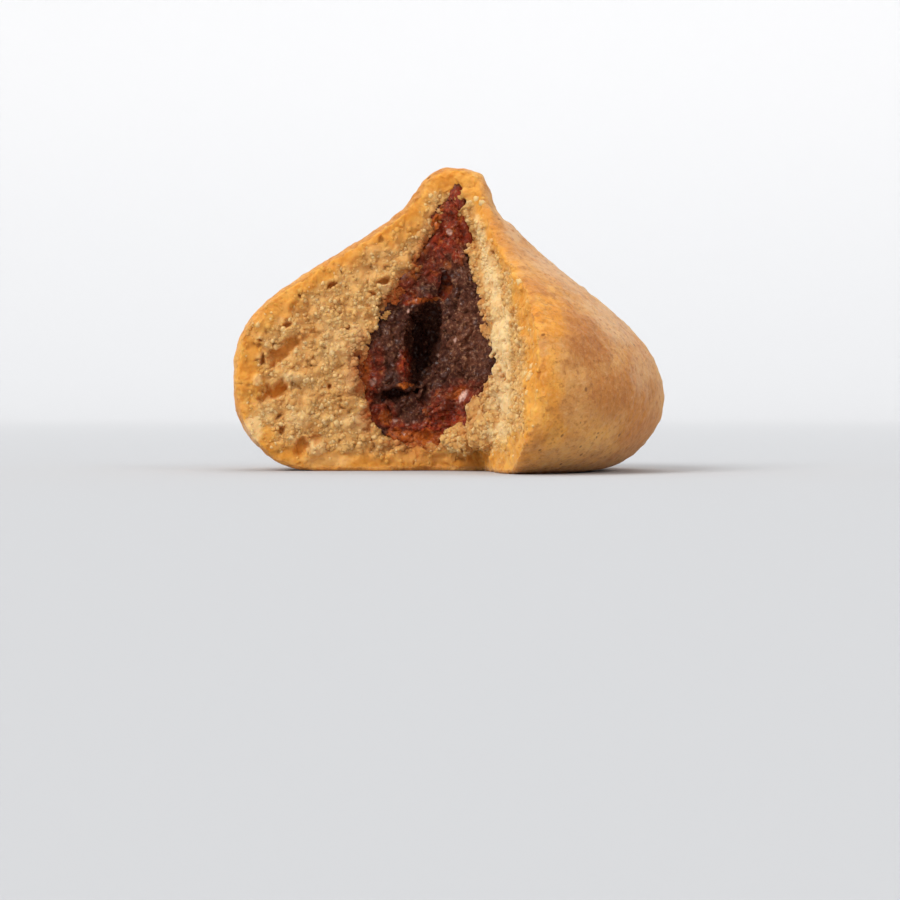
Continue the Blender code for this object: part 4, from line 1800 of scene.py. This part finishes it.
@dataclass
class Studio:
    """A pale sweep of paper, soft lights and the camera. Lengths are in millimetres."""

    form: Form
    finish: BackdropFinish = field(default_factory=BackdropFinish)
    floor_radius: float = 1200.0
    sweep_radius: float = 900.0
    wall_height: float = 950.0
    turn_steps: int = 96
    sweep_steps: int = 24
    camera_lens: float = 85.0
    sensor: float = 36.0
    sky: float = 0.58
    lamps: tuple[Lamp, ...] = (
        Lamp("key", (-0.75, -0.75, 0.8), 35.0, 2.1),
        Lamp("fill", (1.0, -0.5, 0.3), 60.0, 1.05),
        Lamp("top", (0.1, 0.3, 1.0), 45.0, 0.8),
        Lamp("low", (0.4, -1.0, 0.04), 60.0, 1.9),
    )

    def build(self) -> None:
        """Makes everything around the cookie."""
        self.make_backdrop()
        self.make_camera()
        for lamp in self.lamps:
            lamp.hang()
        world = bpy.data.worlds.new("studio")
        world.use_nodes = True
        world.node_tree.nodes["Background"].inputs["Color"].default_value = (1.0, 1.0, 1.0, 1.0)
        world.node_tree.nodes["Background"].inputs["Strength"].default_value = self.sky
        bpy.context.scene.world = world
        bpy.context.scene.view_settings.view_transform = "Standard"

    def profile(self) -> list[Vector]:
        """Works out the backdrop's outline, from its middle out and up."""
        points = [Vector((0.0, 0.0, 0.0)), Vector((self.floor_radius, 0.0, 0.0))]
        for step in range(1, self.sweep_steps + 1):
            angle = math.radians(90.0 * step / self.sweep_steps)
            out = self.floor_radius + self.sweep_radius * math.sin(angle)
            points.append(Vector((out, 0.0, self.sweep_radius * (1.0 - math.cos(angle)))))
        points.append(Vector((self.floor_radius + self.sweep_radius, 0.0, self.wall_height)))
        return [point * MM for point in points]

    def make_backdrop(self) -> None:
        """Makes the floor that curves up into a wall all round."""
        shape = bmesh.new()
        points = [shape.verts.new(point) for point in self.profile()]
        edges = [shape.edges.new(pair) for pair in zip(points, points[1:])]
        bmesh.ops.spin(
            shape,
            geom=points + edges,
            cent=(0.0, 0.0, 0.0),
            axis=(0.0, 0.0, 1.0),
            angle=math.tau,
            steps=self.turn_steps,
            use_merge=True,
        )
        bmesh.ops.remove_doubles(shape, verts=shape.verts, dist=0.01 * MM)
        bmesh.ops.recalc_face_normals(shape, faces=shape.faces)
        mesh = mesh_from("backdrop", shape)
        mesh.shade_smooth()
        mesh.materials.append(self.finish.material())
        backdrop = object_from("backdrop", mesh)

    def make_camera(self) -> None:
        """Puts the camera where the viewer stands."""
        lens = bpy.data.cameras.new("camera")
        lens.lens = self.camera_lens
        lens.sensor_width = self.sensor
        lens.clip_start = MM
        made = object_from("camera", lens)
        made.location = self.form.viewpoint.place
        made.rotation_euler = self.form.viewpoint.back.to_track_quat("Z", "Y").to_euler()
        bpy.context.scene.camera = made


# ---------------------------------------------------------------------------------------------
# The whole scene
# ---------------------------------------------------------------------------------------------


def seen_face() -> Surface:
    """Makes both solids searchable as one skin."""
    corners: list[Vector] = []
    faces: list[list[int]] = []
    for node in ("pastry", "filling"):
        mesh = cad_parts[node].data
        faces += [[index + len(corners) for index in p.vertices] for p in mesh.polygons]
        corners += [v.co.copy() for v in mesh.vertices]
    return Surface(corners, faces)


def report(piece: bpy.types.Object) -> None:
    """Logs a piece's name and how many triangles it has."""
    triangles = sum(len(face.vertices) - 2 for face in piece.data.polygons)
    LOG.info("%s: %d triangles", piece.name, triangles)


def place_on_body(piece: bpy.types.Object, node: str | None) -> None:
    """Ties a piece to the cookie.

    Args:
        piece: The piece.
        node: The solid that it stands for, or None.
    """
    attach(piece, "root")
    if node:
        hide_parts(node)
    report(piece)


def main() -> None:
    """Builds the cookie and the studio around it."""
    logging.basicConfig(level=logging.INFO, format="%(message)s")
    form = Form(*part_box("pastry"))
    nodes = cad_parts
    pastry_skin, filling_skin = Surface.of(nodes["pastry"].data), Surface.of(nodes["filling"].data)
    seen = seen_face()
    pastry = Pastry(form).build(Skins.of("pastry"), seen, filling_skin)
    place_on_body(pastry, "pastry")
    filling = DatePaste(form).build(pastry_skin, seen)
    place_on_body(filling, "filling")
    grains = SemolinaGrains(form).build(pastry)
    place_on_body(grains, None)
    Studio(form).build()


if __name__ == "__main__":
    main()
